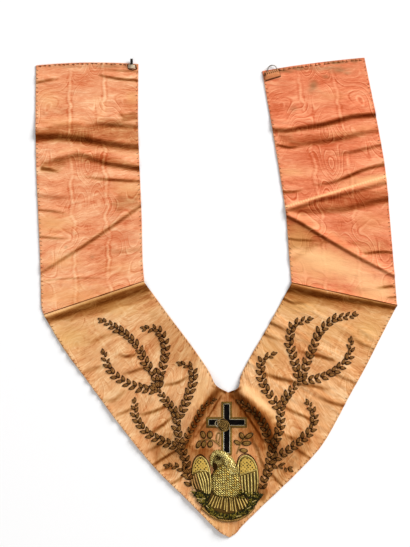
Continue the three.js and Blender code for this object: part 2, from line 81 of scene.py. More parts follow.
def makeStudio():
    middle = toFrame([(layout["viewWidth"] / 2, layout["viewHeight"] / 2)])[0]
    reach = layout["viewHeight"] * mm * studio["lens"] / studio["sensor"]
    cameraData = bpy.data.cameras.new("camera")
    cameraData.lens = studio["lens"]
    cameraData.sensor_width = studio["sensor"]
    cameraData.clip_start = studio["clipStart"]
    camera = addObject("camera", cameraData)
    camera.location = (middle[0], middle[1], reach + studio["aimHeight"])
    scene.camera = camera

    half = studio["floorSize"] / 2
    corners = [(-half, -half, 0), (half, -half, 0), (half, half, 0), (-half, half, 0)]
    floorMesh = bpy.data.meshes.new("floor")
    floorMesh.from_pydata(corners, [], [(0, 1, 2, 3)])
    floor = addObject("floor", floorMesh)
    floor.location.z = -studio["floorDrop"]
    paper, _, shader = newMaterial("palePaper")
    setPlain(shader, {
        "Base Color": (*studio["floorColour"], 1), "Roughness": studio["floorRough"],
        "Specular IOR Level": studio["floorGloss"],
    })
    floorMesh.materials.append(paper)

    for name in ("key", "fill"):
        lightData = bpy.data.lights.new(name, "AREA")
        lightData.size = studio[name + "Size"]
        lightData.energy = studio[name + "Power"]
        light = addObject(name, lightData)
        light.location = studio[name + "From"]
        light.rotation_euler = (-Vector(studio[name + "From"])).to_track_quat("-Z", "Y").to_euler()

    world = bpy.data.worlds.new("sky")
    world.use_nodes = True
    light = {"Color": (*studio["skyColour"], 1), "Strength": studio["skyStrength"]}
    setPlain(world.node_tree.nodes["Background"], light)
    scene.world = world
    scene.view_settings.view_transform = "Standard"
    print("studio made")


# Shader helpers
def fill(tree, socket, value):
    if isinstance(value, bpy.types.NodeSocket):
        tree.links.new(value, socket)
    else:
        socket.default_value = value


def addNode(tree, kind, inputs=None, **settings):
    made = tree.nodes.new(kind)
    for key, value in settings.items():
        setattr(made, key, value)
    for key, value in (inputs or {}).items():
        fill(tree, made.inputs[key], value)
    return made


def calc(tree, operation, first, second=0.0, third=0.0):
    return addNode(tree, "ShaderNodeMath", {0: first, 1: second, 2: third}, operation=operation).outputs[0]


def combine(tree, x, y, z):
    return addNode(tree, "ShaderNodeCombineXYZ", {0: x, 1: y, 2: z}).outputs[0]


def remap(tree, value, low, high, toLow=0.0, toHigh=1.0):
    inputs = {"Value": value, "From Min": low, "From Max": high, "To Min": toLow, "To Max": toHigh}
    return addNode(tree, "ShaderNodeMapRange", inputs, interpolation_type="SMOOTHSTEP").outputs["Result"]


def noiseAt(tree, vector, scale, detail=2.0, roughness=0.5):
    inputs = {"Vector": vector, "Scale": scale, "Detail": detail, "Roughness": roughness}
    return addNode(tree, "ShaderNodeTexNoise", inputs).outputs["Fac"]


def stretch(tree, vector, scale):
    return addNode(tree, "ShaderNodeMapping", {"Vector": vector, "Scale": scale}).outputs["Vector"]


def mixColour(tree, factor, first, second, blend="MIX"):
    made = addNode(tree, "ShaderNodeMix", {0: factor}, data_type="RGBA", blend_type=blend)
    for index, colour in ((6, first), (7, second)):
        plain = not isinstance(colour, bpy.types.NodeSocket)
        fill(tree, made.inputs[index], (*colour[:3], 1) if plain else colour)
    return made.outputs[2]


def tint(tree, base, mask, share, colour):
    return mixColour(tree, calc(tree, "MULTIPLY", mask, share), base, colour)


def newGroup(name, inputs, outputs, kind="ShaderNodeTree"):
    group = bpy.data.node_groups.new(name, kind)
    for socketName, sort, value in inputs:
        socket = group.interface.new_socket(socketName, in_out="INPUT", socket_type="NodeSocket" + sort)
        if value is not None:
            socket.default_value = value
    for socketName, sort in outputs:
        group.interface.new_socket(socketName, in_out="OUTPUT", socket_type="NodeSocket" + sort)
    return group, group.nodes.new("NodeGroupInput"), group.nodes.new("NodeGroupOutput")


# The watermark, in mm on the ribbon: where it mirrors, how far it sways, its rings and its wavy line,
# the share of each mark in the light, and the rib of the weave
moire = {
    "half": 50.0, "sway": (7.0, 9.0), "rings": 15.0, "ringWidth": 0.16, "shadowAt": 0.2,
    "lineAt": 40.0, "lineSway": 13.0, "besideAt": 2.5, "beside": -0.6,
    "clouds": 1.35, "streaks": 1.1, "threads": 0.5, "contours": 0.3, "lines": 0.24, "rib": 0.9,
    "ribHeight": 0.1,
}


# Moire silk, pressed folded down its middle: contours, wavy lines along it, streaks of the rib
def makeWatermark():
    group, given, out = newGroup(
        "watermark",
        [("Ribbon mm", "Vector", None), ("Contours", "Float", 0.5), ("Lines", "Float", 1.0)],
        [("Light", "Float"), ("Height", "Float")],
    )
    ribbonPlace = given.outputs["Ribbon mm"]

    def cloud(vector, scale, detail=2.0, roughness=0.5):
        return noiseAt(group, stretch(group, vector, scale), 1.0, detail, roughness)

    def near(value, centre, full, none):    # 1 within full of the centre, 0 past none
        gap = calc(group, "ABSOLUTE", calc(group, "SUBTRACT", value, centre))
        return remap(group, gap, full, none, 1.0, 0.0)

    split = addNode(group, "ShaderNodeSeparateXYZ", {0: ribbonPlace})
    across, along = split.outputs[0], split.outputs[1]
    swayX = calc(group, "MULTIPLY_ADD", cloud(ribbonPlace, (0.04, 0.06, 1)), moire["sway"][0], across)
    swayY = calc(group, "MULTIPLY_ADD", cloud(ribbonPlace, (0.05, 0.03, 7)), moire["sway"][1], along)
    place = combine(group, swayX, swayY, 0)
    marks = {
        "clouds": cloud(place, (0.024, 0.07, 1), 3.0, 0.62),
        "streaks": cloud(place, (0.11, 0.85, 1), 4.0, 0.7),
        "threads": cloud(place, (0.3, 2.4, 1), 2.0, 0.6),
    }

    folded = calc(group, "PINGPONG", across, moire["half"])
    field = cloud(combine(group, folded, along, 0), (0.036, 0.021, 1), 0.0)
    ring = calc(group, "SUBTRACT", calc(group, "FRACT", calc(group, "MULTIPLY", field, moire["rings"])), 0.5)
    paleLine = near(ring, 0.0, 0.0, moire["ringWidth"])
    darkLine = near(ring, moire["shadowAt"], 0.0, moire["ringWidth"])
    shown = remap(group, cloud(ribbonPlace, (0.03, 0.03, 5), 1.0), 0.4, 0.6)
    contour = calc(group, "MULTIPLY", calc(group, "SUBTRACT", paleLine, darkLine), shown)

    bend = calc(group, "MULTIPLY_ADD", cloud(ribbonPlace, (0.0, 0.05, 1)), moire["lineSway"],
                -moire["lineAt"])
    offLine = calc(group, "ABSOLUTE", calc(group, "ADD", folded, bend))
    beside = near(offLine, moire["besideAt"], 0.3, 1.4)
    line = calc(group, "MULTIPLY_ADD", beside, moire["beside"], remap(group, offLine, 0.3, 1.6, 1.0, 0.0))
    drawn = calc(group, "MULTIPLY", line, remap(group, cloud(place, (0.014, 0.02, 9)), 0.34, 0.56))

    light = 0.5
    for mark, value in marks.items():
        light = calc(group, "MULTIPLY_ADD", calc(group, "SUBTRACT", value, 0.5), moire[mark], light)
    for mark, value in (("contours", contour), ("lines", drawn)):
        shown = calc(group, "MULTIPLY", value, given.outputs[mark.capitalize()])
        light = calc(group, "MULTIPLY_ADD", shown, moire[mark], light)
    rib = calc(group, "SINE", calc(group, "MULTIPLY", along, 2 * math.pi / moire["rib"]))
    group.links.new(light, out.inputs["Light"])
    group.links.new(calc(group, "MULTIPLY_ADD", rib, moire["ribHeight"], light), out.inputs["Height"])
    return group


def makeGrime():    # soft uneven dirt and fading, the same on every piece
    group, given, out = newGroup("grime", [("Vector", "Vector", None), ("Scale", "Float", 40.0)],
                                 [("Mask", "Float")])
    cloud = noiseAt(group, given.outputs["Vector"], given.outputs["Scale"], 4.0, 0.62)
    group.links.new(remap(group, cloud, 0.38, 0.68), out.inputs["Mask"])
    return group


watermark = makeWatermark()
grime = makeGrime()


def newMaterial(name):
    made = bpy.data.materials.new(name)
    made.use_nodes = True
    return made, made.node_tree, made.node_tree.nodes["Principled BSDF"]


def groupNode(tree, group, inputs):
    return addNode(tree, "ShaderNodeGroup", inputs, node_tree=group)


def placeAndDirt(tree, scale):    # where a surface point is, and how dirty it is there
    objectPlace = addNode(tree, "ShaderNodeTexCoord").outputs["Object"]
    return objectPlace, groupNode(tree, grime, {"Vector": objectPlace, "Scale": scale}).outputs["Mask"]


def dress(tree, shader, base, height, strength, depth):    # colour and relief
    bump = addNode(tree, "ShaderNodeBump", {"Height": height, "Strength": strength, "Distance": depth})
    tree.links.new(base, shader.inputs["Base Color"])
    tree.links.new(bump.outputs["Normal"], shader.inputs["Normal"])


def attribute(tree, name, output="Fac"):
    return addNode(tree, "ShaderNodeAttribute", attribute_name=name).outputs[output]


# Silk of the ribbon
silks = {
    "leftStrapSilk": {
        "base": (231, 151, 107), "pale": (250, 195, 150), "deep": (202, 100, 57), "yellow": (236, 176, 114),
        "contours": 0.6, "lines": 0.9,
    },
    "rightStrapSilk": {
        "base": (224, 127, 88), "pale": (244, 168, 125), "deep": (196, 88, 49), "yellow": (238, 174, 118),
        "contours": 0.9, "lines": 0.8,
    },
    "leftFrontSilk": {
        "base": (222, 162, 109), "pale": (244, 202, 152), "deep": (186, 109, 58), "yellow": (222, 172, 104),
        "contours": 0.5, "lines": 0.35,
    },
    "rightFrontSilk": {
        "base": (218, 155, 99), "pale": (243, 199, 150), "deep": (185, 107, 57), "yellow": (220, 168, 102),
        "contours": 0.5, "lines": 0.35,
    },
}
stainColour = linear(112, 96, 58)
hemColour = linear(84, 42, 18)
glintColour = linear(255, 206, 148)
# What is left of the light in the painted shade of the silk's deepest folds
shadeColour = (0.2, 0.098, 0.033)


def silkMaterial(name):
    look = silks[name]
    plain, pale, deep, yellow = (linear(*look[key]) for key in ("base", "pale", "deep", "yellow"))
    material, tree, shader = newMaterial(name)
    ribbonPlace = addNode(tree, "ShaderNodeUVMap", uv_map="ribbonMm").outputs["UV"]
    ribbonMm = stretch(tree, ribbonPlace, (1 / mm, 1 / mm, 1))
    mark = groupNode(tree, watermark, {"Ribbon mm": ribbonMm, "Contours": look["contours"],
                                       "Lines": look["lines"]})
    light = mark.outputs["Light"]
    tones = addNode(tree, "ShaderNodeSeparateColor", {0: attribute(tree, "tones", "Color")})
    base = mixColour(tree, remap(tree, light, 0.12, 0.5), deep, plain)
    base = mixColour(tree, remap(tree, light, 0.42, 0.86), base, pale)
    base = mixColour(tree, attribute(tree, "yellow"), base, yellow)
    # deep patches: deeper tone, and painted shade in the hollows
    base = mixColour(tree, tones.outputs[2], base, deep)
    # painted highlights along ridges, rims and edges
    base = mixColour(tree, remap(tree, attribute(tree, "pale"), 0.0, 1.0), base, glintColour)
    base = mixColour(tree, attribute(tree, "stain"), base, stainColour)
    base = mixColour(tree, tones.outputs[1], base, hemColour)
    # painted shade: the folds' darkness and the shade outlines darken the silk, less where the watermark is
    # light, and take its gloss away
    paintedShade = calc(tree, "ADD", tones.outputs[0], attribute(tree, "shade"))
    paintedShade = calc(tree, "MULTIPLY", paintedShade, remap(tree, light, 0.1, 0.9, 1.2, 0.75))
    left = combine(tree, *(calc(tree, "POWER", part, paintedShade) for part in shadeColour))
    dress(tree, shader, mixColour(tree, 1.0, base, left, "MULTIPLY"), mark.outputs["Height"], 0.6, 0.0005)
    tree.links.new(remap(tree, light, 0.2, 0.8, 0.62, 0.46), shader.inputs["Roughness"])
    tree.links.new(remap(tree, paintedShade, 0.0, 0.8, 0.16, 0.0), shader.inputs["Specular IOR Level"])
    shader.inputs["Specular Tint"].default_value = (1.0, 0.62, 0.4, 1)
    return material


# Seeded smooth noise on a lattice, from -1 to 1
def latticeNoise(u, v, seed):
    grid = np.random.default_rng(seed).uniform(-1, 1, (64, 64))
    column, row = np.floor(u).astype(int), np.floor(v).astype(int)
    fu, fv = u - column, v - row
    fu, fv = fu * fu * (3 - 2 * fu), fv * fv * (3 - 2 * fv)
    at = lambda dx, dy: grid[(row + dy) % 64, (column + dx) % 64]
    return (at(0, 0) * (1 - fu) + at(1, 0) * fu) * (1 - fv) + (at(0, 1) * (1 - fu) + at(1, 1) * fu) * fv


def layeredNoise(u, v, seed):
    coarse = latticeNoise(u, v, seed) + 0.5 * latticeNoise(2 * u, 2 * v, seed + 1)
    return coarse + 0.25 * latticeNoise(4 * u, 4 * v, seed + 2)


# Corners where the ribbon lengths meet
leftMitre = {"outer": (43.8, 315.6), "inner": (144.3, 282.2)}
rightMitre = {"outer": (397.2, 305.6), "inner": (291.6, 283)}
notch = (228.2, 392.6)
point = (229.6, 537.8)

# Folds of the ribbon. The cloth rises over above mm to a crest and drops over band mm, to the right of
# the way the path runs, and the path is the middle of that dark drop. dark is how strong the painted
# shade along the drop is, and strength scales both along the path.
foldColumns = ("path", "crest", "above", "band", "dark", "strength")
foldRows = [
    ([(101, 75.5), (118, 78.6), (138, 80.2)], 1.6, 4, (2.4, 2.6), 0.8, (0.5, 1, 1)),
    ([(38, 82), (50, 79.8), (60, 78.4)], 1.2, 4, (2.6, 2.2), 0.55, (1, 1, 0)),
    ([(100, 70), (118, 70.4), (138, 71.4)], 0.8, 3, (2, 2), 0.35, (0, 1, 1)),
    ([(84, 126.6), (108, 125.4), (138, 127.2)], 1.3, 8, (5, 4), 0.42, (0, 1, 0.8)),
    ([(36, 137.6), (60, 137), (80, 138.8), (100, 142.4), (120, 145.4), (138, 147.4)], 3.4, 12, (8, 7), 0.95,
     (0.8, 1, 0.75)),
    ([(44, 164), (60, 158.5), (80, 154.8), (95, 160), (110, 164.2), (125, 166.6), (139, 168.4)], 2.8, 5,
     (4.4, 5), 0.68, (0.3, 0.5, 1.1)),
    ([(42, 168.2), (49, 169.4), (58, 171.6)], 1.3, 3, (4, 3), 1, (0.9, 1, 0.2)),
    ([(84, 176.4), (100, 178.8), (118, 180), (139, 181.4)], 1.4, 4, (2.8, 3), 0.7, (0.1, 1, 0.6)),
    ([(40, 196), (56, 197.4), (76, 197)], 0.8, 6, (4, 4), 0.16, (1, 1, 0)),
    ([(40, 210), (54, 211.4), (68, 214)], 0.8, 4, (2.4, 2.4), 0.4, (1, 1, 0)),
    ([(41, 236.8), (54, 238), (70, 238.4)], 0.8, 4, (2.4, 2.4), 0.42, (1, 1, 0)),
    ([(42, 281), (75, 278), (110, 279)], 0.5, 3, (1.6, 1.6), 0.25, (0.8, 1, 0)),
    ([(41, 273), (60, 260.8), (80, 248.2), (100, 234.6), (120, 220.6), (141, 205.6)], 2.8, 5, (3.4, 3.4), 0.6,
     (0.45, 1, 0.75)),
    ([(98, 250), (118, 251.4), (140, 249)], 0.9, 4, (5, 5), 0.12, (0, 1, 1)),
    ([(275, 130), (288, 130.4), (300, 128.2), (322, 124.8), (340, 120), (352, 116.8), (376, 114.8)], 3.6, 11,
     (4.8, 4.8), 0.9, (0.7, 0.95, 0.9)),
    ([(292, 143), (300, 143.8), (320, 141.6), (340, 138.6), (358, 134.4), (378, 130.4)], 2.4, 5, (4.6, 5),
     0.5, (0.3, 0.85, 0.45)),
    ([(278, 145), (289, 147.2), (302, 145.6)], 1.2, 3, (2.6, 2.6), 0.85, (0.7, 1, 0)),
    ([(332, 155), (350, 152.4), (365, 148.8), (381, 145)], 1.3, 5, (4, 3.4), 0.42, (0, 1, 1)),
    ([(316, 184.8), (332, 182.4), (346, 177.4), (362, 170.4), (383, 164.6)], 2.4, 7, (3, 3.4), 0.9,
     (0.1, 1, 0.8)),
    ([(284, 192), (294, 191.6), (304, 189.6)], 1.1, 4, (2.6, 2.2), 0.85, (1, 0.8, 0)),
    ([(286, 211.6), (300, 207), (318, 200.6), (335, 196.2), (350, 192.6), (366, 188.4), (386, 182.8)], 3, 4,
     (4, 5), 0.42, (1, 1, 0.7)),
    ([(292, 212.4), (312, 211), (345, 208.8), (360, 205.4), (372, 202.4), (389, 199.4)], 1.9, 6, (5, 7), 0.5,
     (0.2, 0.8, 1)),
    ([(286, 215.8), (300, 223), (315, 232.2), (330, 241.2), (345, 250), (360, 258.6), (375, 266.4),
      (395, 277)], 2.9, 4, (3, 3.2), 0.46, (1.0, 1, 0.7)),
    ([(366, 253.4), (378, 252), (392, 252)], 1.1, 4, (2.4, 2.6), 0.85, (0.6, 1, 0.9)),
    ([(288, 238.4), (300, 240), (312, 240.6), (324, 240)], 1.0, 5, (2.6, 2), 0.45, (1, 1, 0)),
    ([(290, 262), (300, 254), (314, 246.6), (330, 244)], 1.1, 6, (6, 6), 0.1, (1, 1, 0)),
    ([(378, 288), (392, 286.2)], 1.0, 4, (2.4, 2.6), 0.7, (0.2, 1, 1)),
    ([(386, 297.4), (396, 297)], 0.8, 3, (2, 2), 0.6, (0, 1, 1)),
    ([(42, 322), (60, 315.6), (80, 308.4), (100, 301.4), (125, 293.6), (150, 286)], 2.6, 2, (7, 10), 0.8,
     (0.8, 0.95, 1)),
    ([(286, 287.4), (300, 290.6), (320, 294.6), (345, 298.8), (370, 303.2), (400, 308.6)], 3, 2, (9.5, 4.4),
     0.92, (1, 0.95, 0.8)),
    ([(186, 447), (190, 434), (197, 419), (206.5, 404), (214, 394), (218, 389)], 7, 19, (6, 8), 0.8,
     (0.6, 1, 0.8)),
    ([(232.5, 389), (238, 395.6), (247.5, 405), (258, 416), (267, 428), (272, 446)], 6.4, 17, (9, 8), 0.66,
     (0.6, 1, 0.6)),
    ([(252, 438), (258, 452), (263, 466)], 1.6, 6, (4, 3), 0.55, (0.5, 1, 0.5)),
    ([(196, 436), (203, 426), (212, 411), (221, 396)], 1.0, 3, (1.8, 1.8), 0.75, (0.4, 1, 0.8)),
    ([(232, 396), (243, 410), (254, 426), (263, 440)], 1.0, 3, (1.8, 1.8), 0.85, (0.8, 1, 0.6)),
    ([(118, 354.6), (128, 356.4), (139, 353.4)], 1.3, 5, (3.4, 3), 0.5, (0.2, 1, 0.5)),
    ([(126, 373.6), (136, 370.6), (147, 365.6)], 1.3, 5, (3.2, 3), 0.5, (0.4, 1, 0.6)),
    ([(102, 400), (113, 400.4), (124, 391.4)], 1.2, 5, (4, 4), 0.36, (0.4, 1, 0.6)),
    ([(117, 415.4), (126, 411.4), (137, 406)], 1.1, 5, (3, 3), 0.45, (0.5, 1, 0.6)),
    ([(165.6, 385.2), (177, 382.8), (188, 376.8)], 1.4, 5, (3.2, 3), 0.7, (0.4, 1, 0.4)),
    ([(142.8, 414.4), (153.7, 411.6), (166.7, 405.6)], 1.5, 5, (3.2, 3), 0.8, (0.4, 1, 0.6)),
    ([(150, 433.6), (160, 427.2), (171, 418)], 1.5, 5, (3.2, 3), 0.8, (0.4, 1, 0.6)),
    ([(146, 452), (157, 446.4), (169, 439.6)], 1.2, 5, (3, 3), 0.45, (0.4, 1, 0.6)),
    ([(154, 464.4), (163.6, 458.2), (177.2, 449.8)], 1.7, 5, (2.8, 2.6), 0.95, (0.6, 1, 0.7)),
    ([(158, 471.6), (166.8, 469), (176, 466)], 1.1, 4, (2.8, 2.6), 0.5, (0.5, 1, 0.4)),
    ([(172, 483.4), (179, 479.6), (187, 471)], 1.5, 4, (2.8, 2.6), 0.75, (0.6, 1, 0.6)),
    ([(84, 372), (96, 368), (108, 366)], 1.0, 6, (4, 4), 0.25, (0.5, 1, 0.4)),
    ([(91, 342.8), (105.4, 336), (119.8, 333.4)], 1.0, 6, (4, 4), 0.22, (0.5, 1, 0.4)),
    ([(261, 372.4), (275, 377.4), (295.4, 382.4)], 1.6, 6, (4, 3.4), 0.75, (0.4, 1, 0.6)),
    ([(300, 351.4), (316.4, 355.4), (332, 359.4)], 1.4, 6, (3.6, 3.4), 0.7, (0.2, 1, 0.7)),
    ([(281, 297.2), (292, 302.4), (305.4, 303.4)], 1.2, 4, (3, 3), 0.6, (1, 0.8, 0.2)),
    ([(267.6, 321.2), (277.4, 326), (288.2, 331.6)], 1.2, 5, (3.2, 3), 0.6, (1, 0.9, 0.3)),
    ([(260.2, 331.6), (269, 336), (281, 340.6)], 1.1, 5, (3, 3), 0.5, (1, 0.8, 0.3)),
    ([(298, 384.4), (313, 386), (328, 389.4)], 1.3, 5, (3.2, 3), 0.6, (0.4, 1, 0.4)),
    ([(286, 408), (298.6, 413.8), (313.2, 420.8)], 1.5, 5, (2.8, 2.6), 0.8, (0.5, 1, 0.7)),
    ([(321.2, 398.2), (333, 403), (346, 406.4)], 1.3, 5, (3.2, 3), 0.6, (0.4, 1, 0.7)),
    ([(279.6, 432), (291.8, 437.8), (305.6, 441)], 1.3, 5, (3.2, 3), 0.55, (0.5, 1, 0.5)),
    ([(294, 447.6), (304, 454), (312, 460)], 1.2, 5, (3, 3), 0.6, (0.6, 1, 0.7)),
    ([(269.4, 473.4), (276.4, 479.4), (283.2, 487)], 1.2, 4, (1.8, 1.8), 0.9, (0.7, 1, 0.8)),
    ([(352, 336), (362, 344), (374, 349)], 1.1, 6, (4, 4), 0.3, (0.4, 1, 0.7)),
    ([(330.6, 372.4), (344.6, 378.4), (356.6, 383.4)], 1.1, 6, (4, 4), 0.3, (0.4, 1, 0.7)),
    ([(197, 512), (204, 506), (210, 498)], 1.0, 4, (3, 3), 0.4, (0.6, 1, 0.5)),
    ([(50, 328), (85.4, 381), (122.3, 431), (155.5, 471), (186.1, 501.1), (224, 538)], 2.6, 7, (2.4, 2.4),
     0, (0.3, 0.6, 1)),
    ([(213, 386), (219, 389.4), (225, 392)], 0.8, 3, (2, 2), 0.8, (0.6, 1, 1)),
    ([(231, 392.2), (236, 390.4), (240, 388)], 0.8, 3, (2, 2), 0.9, (1, 1, 0.8)),
]
clothThickness = 1.3
# Where the ripples change from the straps' to the fronts', and from left to right, and how softly, in mm
frontLine = {"y": 292, "lean": 0.1, "x": 228, "softDown": 3, "softAcross": 4}


# Centripetal curve through the places, as evenly spaced points or at shares of its length
def smoothPath(places, count, closed=False):
    points = np.asarray(places, float)
    before = points[-1] if closed else 2 * points[0] - points[1]
    after = points[:2] if closed else [2 * points[-1] - points[-2]]
    points = np.vstack([before, points, *after])
    fine = []
    for p0, p1, p2, p3 in zip(points, points[1:], points[2:], points[3:]):
        spans = [np.linalg.norm(b - a) ** 0.5 for a, b in ((p0, p1), (p1, p2), (p2, p3))]
        knots = np.cumsum([0] + spans)
        t = np.linspace(knots[1], knots[2], 40, endpoint=False)[:, None]
        between = lambda a, b, i, j: (a * (knots[j] - t) + b * (t - knots[i])) / (knots[j] - knots[i])
        a1, a2, a3 = between(p0, p1, 0, 1), between(p1, p2, 1, 2), between(p2, p3, 2, 3)
        b1, b2 = between(a1, a2, 0, 2), between(a2, a3, 1, 3)
        fine.append(between(b1, b2, 1, 2))
    fine = np.vstack(fine + [points[-2:-1]])
    travelled = np.concatenate([[0], np.cumsum(np.linalg.norm(np.diff(fine, axis=0), axis=1))])
    wanted = np.linspace(0, travelled[-1], count) if np.isscalar(count) else np.asarray(count) * travelled[-1]
    return np.stack([np.interp(wanted, travelled, fine[:, axis]) for axis in range(fine.shape[1])], axis=-1)


def ringPath(places, count):    # a closed curve through the places
    return smoothPath(places, count + 1, closed=True)[:-1]


def lengthOf(places):
    return np.linalg.norm(np.diff(smoothPath(places, 60), axis=0), axis=1).sum()


folds = [dict(zip(foldColumns, row)) for row in foldRows]
for fold in folds:
    fold["line"] = smoothPath(fold["path"], 32)
    fold["way"] = np.gradient(fold["line"], axis=0)
    fold["way"] /= np.linalg.norm(fold["way"], axis=1)[:, None]


def foldAt(fold, x, y):    # height and painted shade that one fold gives at places
    line, way = fold["line"], fold["way"]
    height, dark = np.zeros(x.shape), np.zeros(x.shape)
    reach = 2.6 * max(fold["above"], *fold["band"])
    low, high = line.min(axis=0) - reach, line.max(axis=0) + reach
    near = (x > low[0]) & (x < high[0]) & (y > low[1]) & (y < high[1])
    if not near.any():
        return height, dark
    place = np.stack([x[near], y[near]], -1)
    nearest = ((place[:, None, :] - line[None]) ** 2).sum(-1).argmin(1)
    gap, ahead = place - line[nearest], way[nearest]
    along = (gap * ahead).sum(-1)
    across = gap[:, 1] * ahead[:, 0] - gap[:, 0] * ahead[:, 1]
    last = len(line) - 1
    past = np.where(nearest == 0, np.maximum(0, -along), np.where(nearest == last, np.maximum(0, along), 0))
    share = nearest / last
    strength = np.interp(share, [0, 0.5, 1], fold["strength"]) * np.exp(-(past / (0.5 * fold["above"])) ** 2)
    band = np.interp(share, [0, 1], fold["band"])
    down = across / band + 0.5
    drop = np.clip(down, 0, 1)
    drop = 1 - drop * drop * (3 - 2 * drop)
    rise = np.exp(-(np.maximum(0, -down) * band / fold["above"]) ** 1.6)
    height[near] = fold["crest"] * strength * rise * drop
    dark[near] = fold["dark"] * strength * np.exp(-np.abs((down - 0.55) / 0.5) ** 2.6)
    return height, dark


ripples = {
    "strap": {"turn": 0.0, "along": 26, "across": 4.8, "height": 0.42, "seed": 5},
    "leftFront": {"turn": math.radians(-36), "along": 22, "across": 5.8, "height": 0.95, "seed": 17},
    "rightFront": {"turn": math.radians(28), "along": 22, "across": 5.8, "height": 0.95, "seed": 29},
}


def rippleHeight(look, x, y):
    u = x * math.cos(look["turn"]) + y * math.sin(look["turn"])
    v = -x * math.sin(look["turn"]) + y * math.cos(look["turn"])
    return look["height"] * layeredNoise(u / look["along"] + 40, v / look["across"] + 40, look["seed"])


def clothAt(x, y):    # height of the ribbon's underside over the table, and the painted shade of its folds
    total, dark = np.zeros(np.shape(x)), np.zeros(np.shape(x))
    for fold in folds:
        height, shade = foldAt(fold, x, y)
        total = total + height ** 2
        dark = np.maximum(dark, shade)
    aside = x - frontLine["x"]
    onFront = 1 / (1 + np.exp(-(y - frontLine["y"] - frontLine["lean"] * abs(aside)) / frontLine["softDown"]))
    onRight = 1 / (1 + np.exp(-aside / frontLine["softAcross"]))
    strap, left, right = (rippleHeight(ripples[key], x, y) for key in ("strap", "leftFront", "rightFront"))
    wave = strap * (1 - onFront) + (left * (1 - onRight) + right * onRight) * onFront
    height = np.sqrt(total) + wave
    return 0.5 * (height + np.sqrt(height ** 2 + 0.06)), dark


def topMm(x, y):
    return clothAt(np.asarray(x, float), np.asarray(y, float))[0] + clothThickness


ribbons = {
    "left_strap": {
        "outer": [(35.7, 65.2), (35.3, 120), (36, 170), (38.4, 225), (40.4, 275), (41.4, 308),
                  leftMitre["outer"]],
        "inner": [(138.3, 63.8), (138, 120), (139.4, 165), (141.5, 215), (142.8, 265), leftMitre["inner"]],
        "endBow": 2.2, "hemAt": 1.3, "seamAt": 1.2, "flat": (0.1, 0.26), "silk": "leftStrapSilk",
        "ends": ("hem", "fold"),
    },
    "right_strap": {
        "outer": [(364.6, 57.4), (374.5, 107), (385.6, 170), (390.2, 220), (394, 265), rightMitre["outer"]],
        "inner": [(262.2, 70.8), (270.4, 118), (279.2, 170), (286, 215), (289.1, 255), rightMitre["inner"]],
        "endBow": 1.2, "hemAt": 2.5, "seamAt": 0.4, "flat": (0.1, 0.26), "silk": "rightStrapSilk",
        "ends": ("hem", "fold"),
    },
    "left_front": {
        "outer": [leftMitre["outer"], (64.3, 350), (86.5, 380), (123.4, 430), (156.6, 470), (187.2, 500),
                  (219.4, 531.8), point],
        "inner": [leftMitre["inner"], (171.2, 319), (193, 348), (209.2, 372), (216.4, 385.4), notch],
        "endBow": 0, "flat": (0.1, 0.29), "silk": "leftFrontSilk", "ends": ("rim", "flush"),
    },
    "right_front": {
        "outer": [rightMitre["outer"], (376.4, 346), (366.4, 366), (349.6, 396), (333.8, 426), (321.6, 446),
                  (304, 466), (242.4, 526), (236, 533.6), point],
        "inner": [rightMitre["inner"], (266, 330), (249.8, 358), (240.4, 377), (238.2, 387.4), notch],
        "endBow": 0, "flat": (0.1, 0.29), "silk": "rightFrontSilk", "ends": ("rim", "flush"),
    },
}
weaving = {
    "width": 100, "gridStep": 1.25, "seamGap": 0.06, "roundSteps": (0, 0.12, 0.35, 0.75, 1.3),
    "edgeRound": 0.65, "edgeDark": 1.5, "edgeDirt": 0.4, "bowFade": 6,
}
# How each sort of ribbon end is made: mm that its edge is rounded over, mm that it shows dark, and how dark
endKinds = {
    "hem": (0.9, 1.9, 0.25), "fold": (0.7, 0.01, 0.0), "rim": (1.0, 0.01, 0.0), "flush": (0.01, 0.01, 0.0),
}

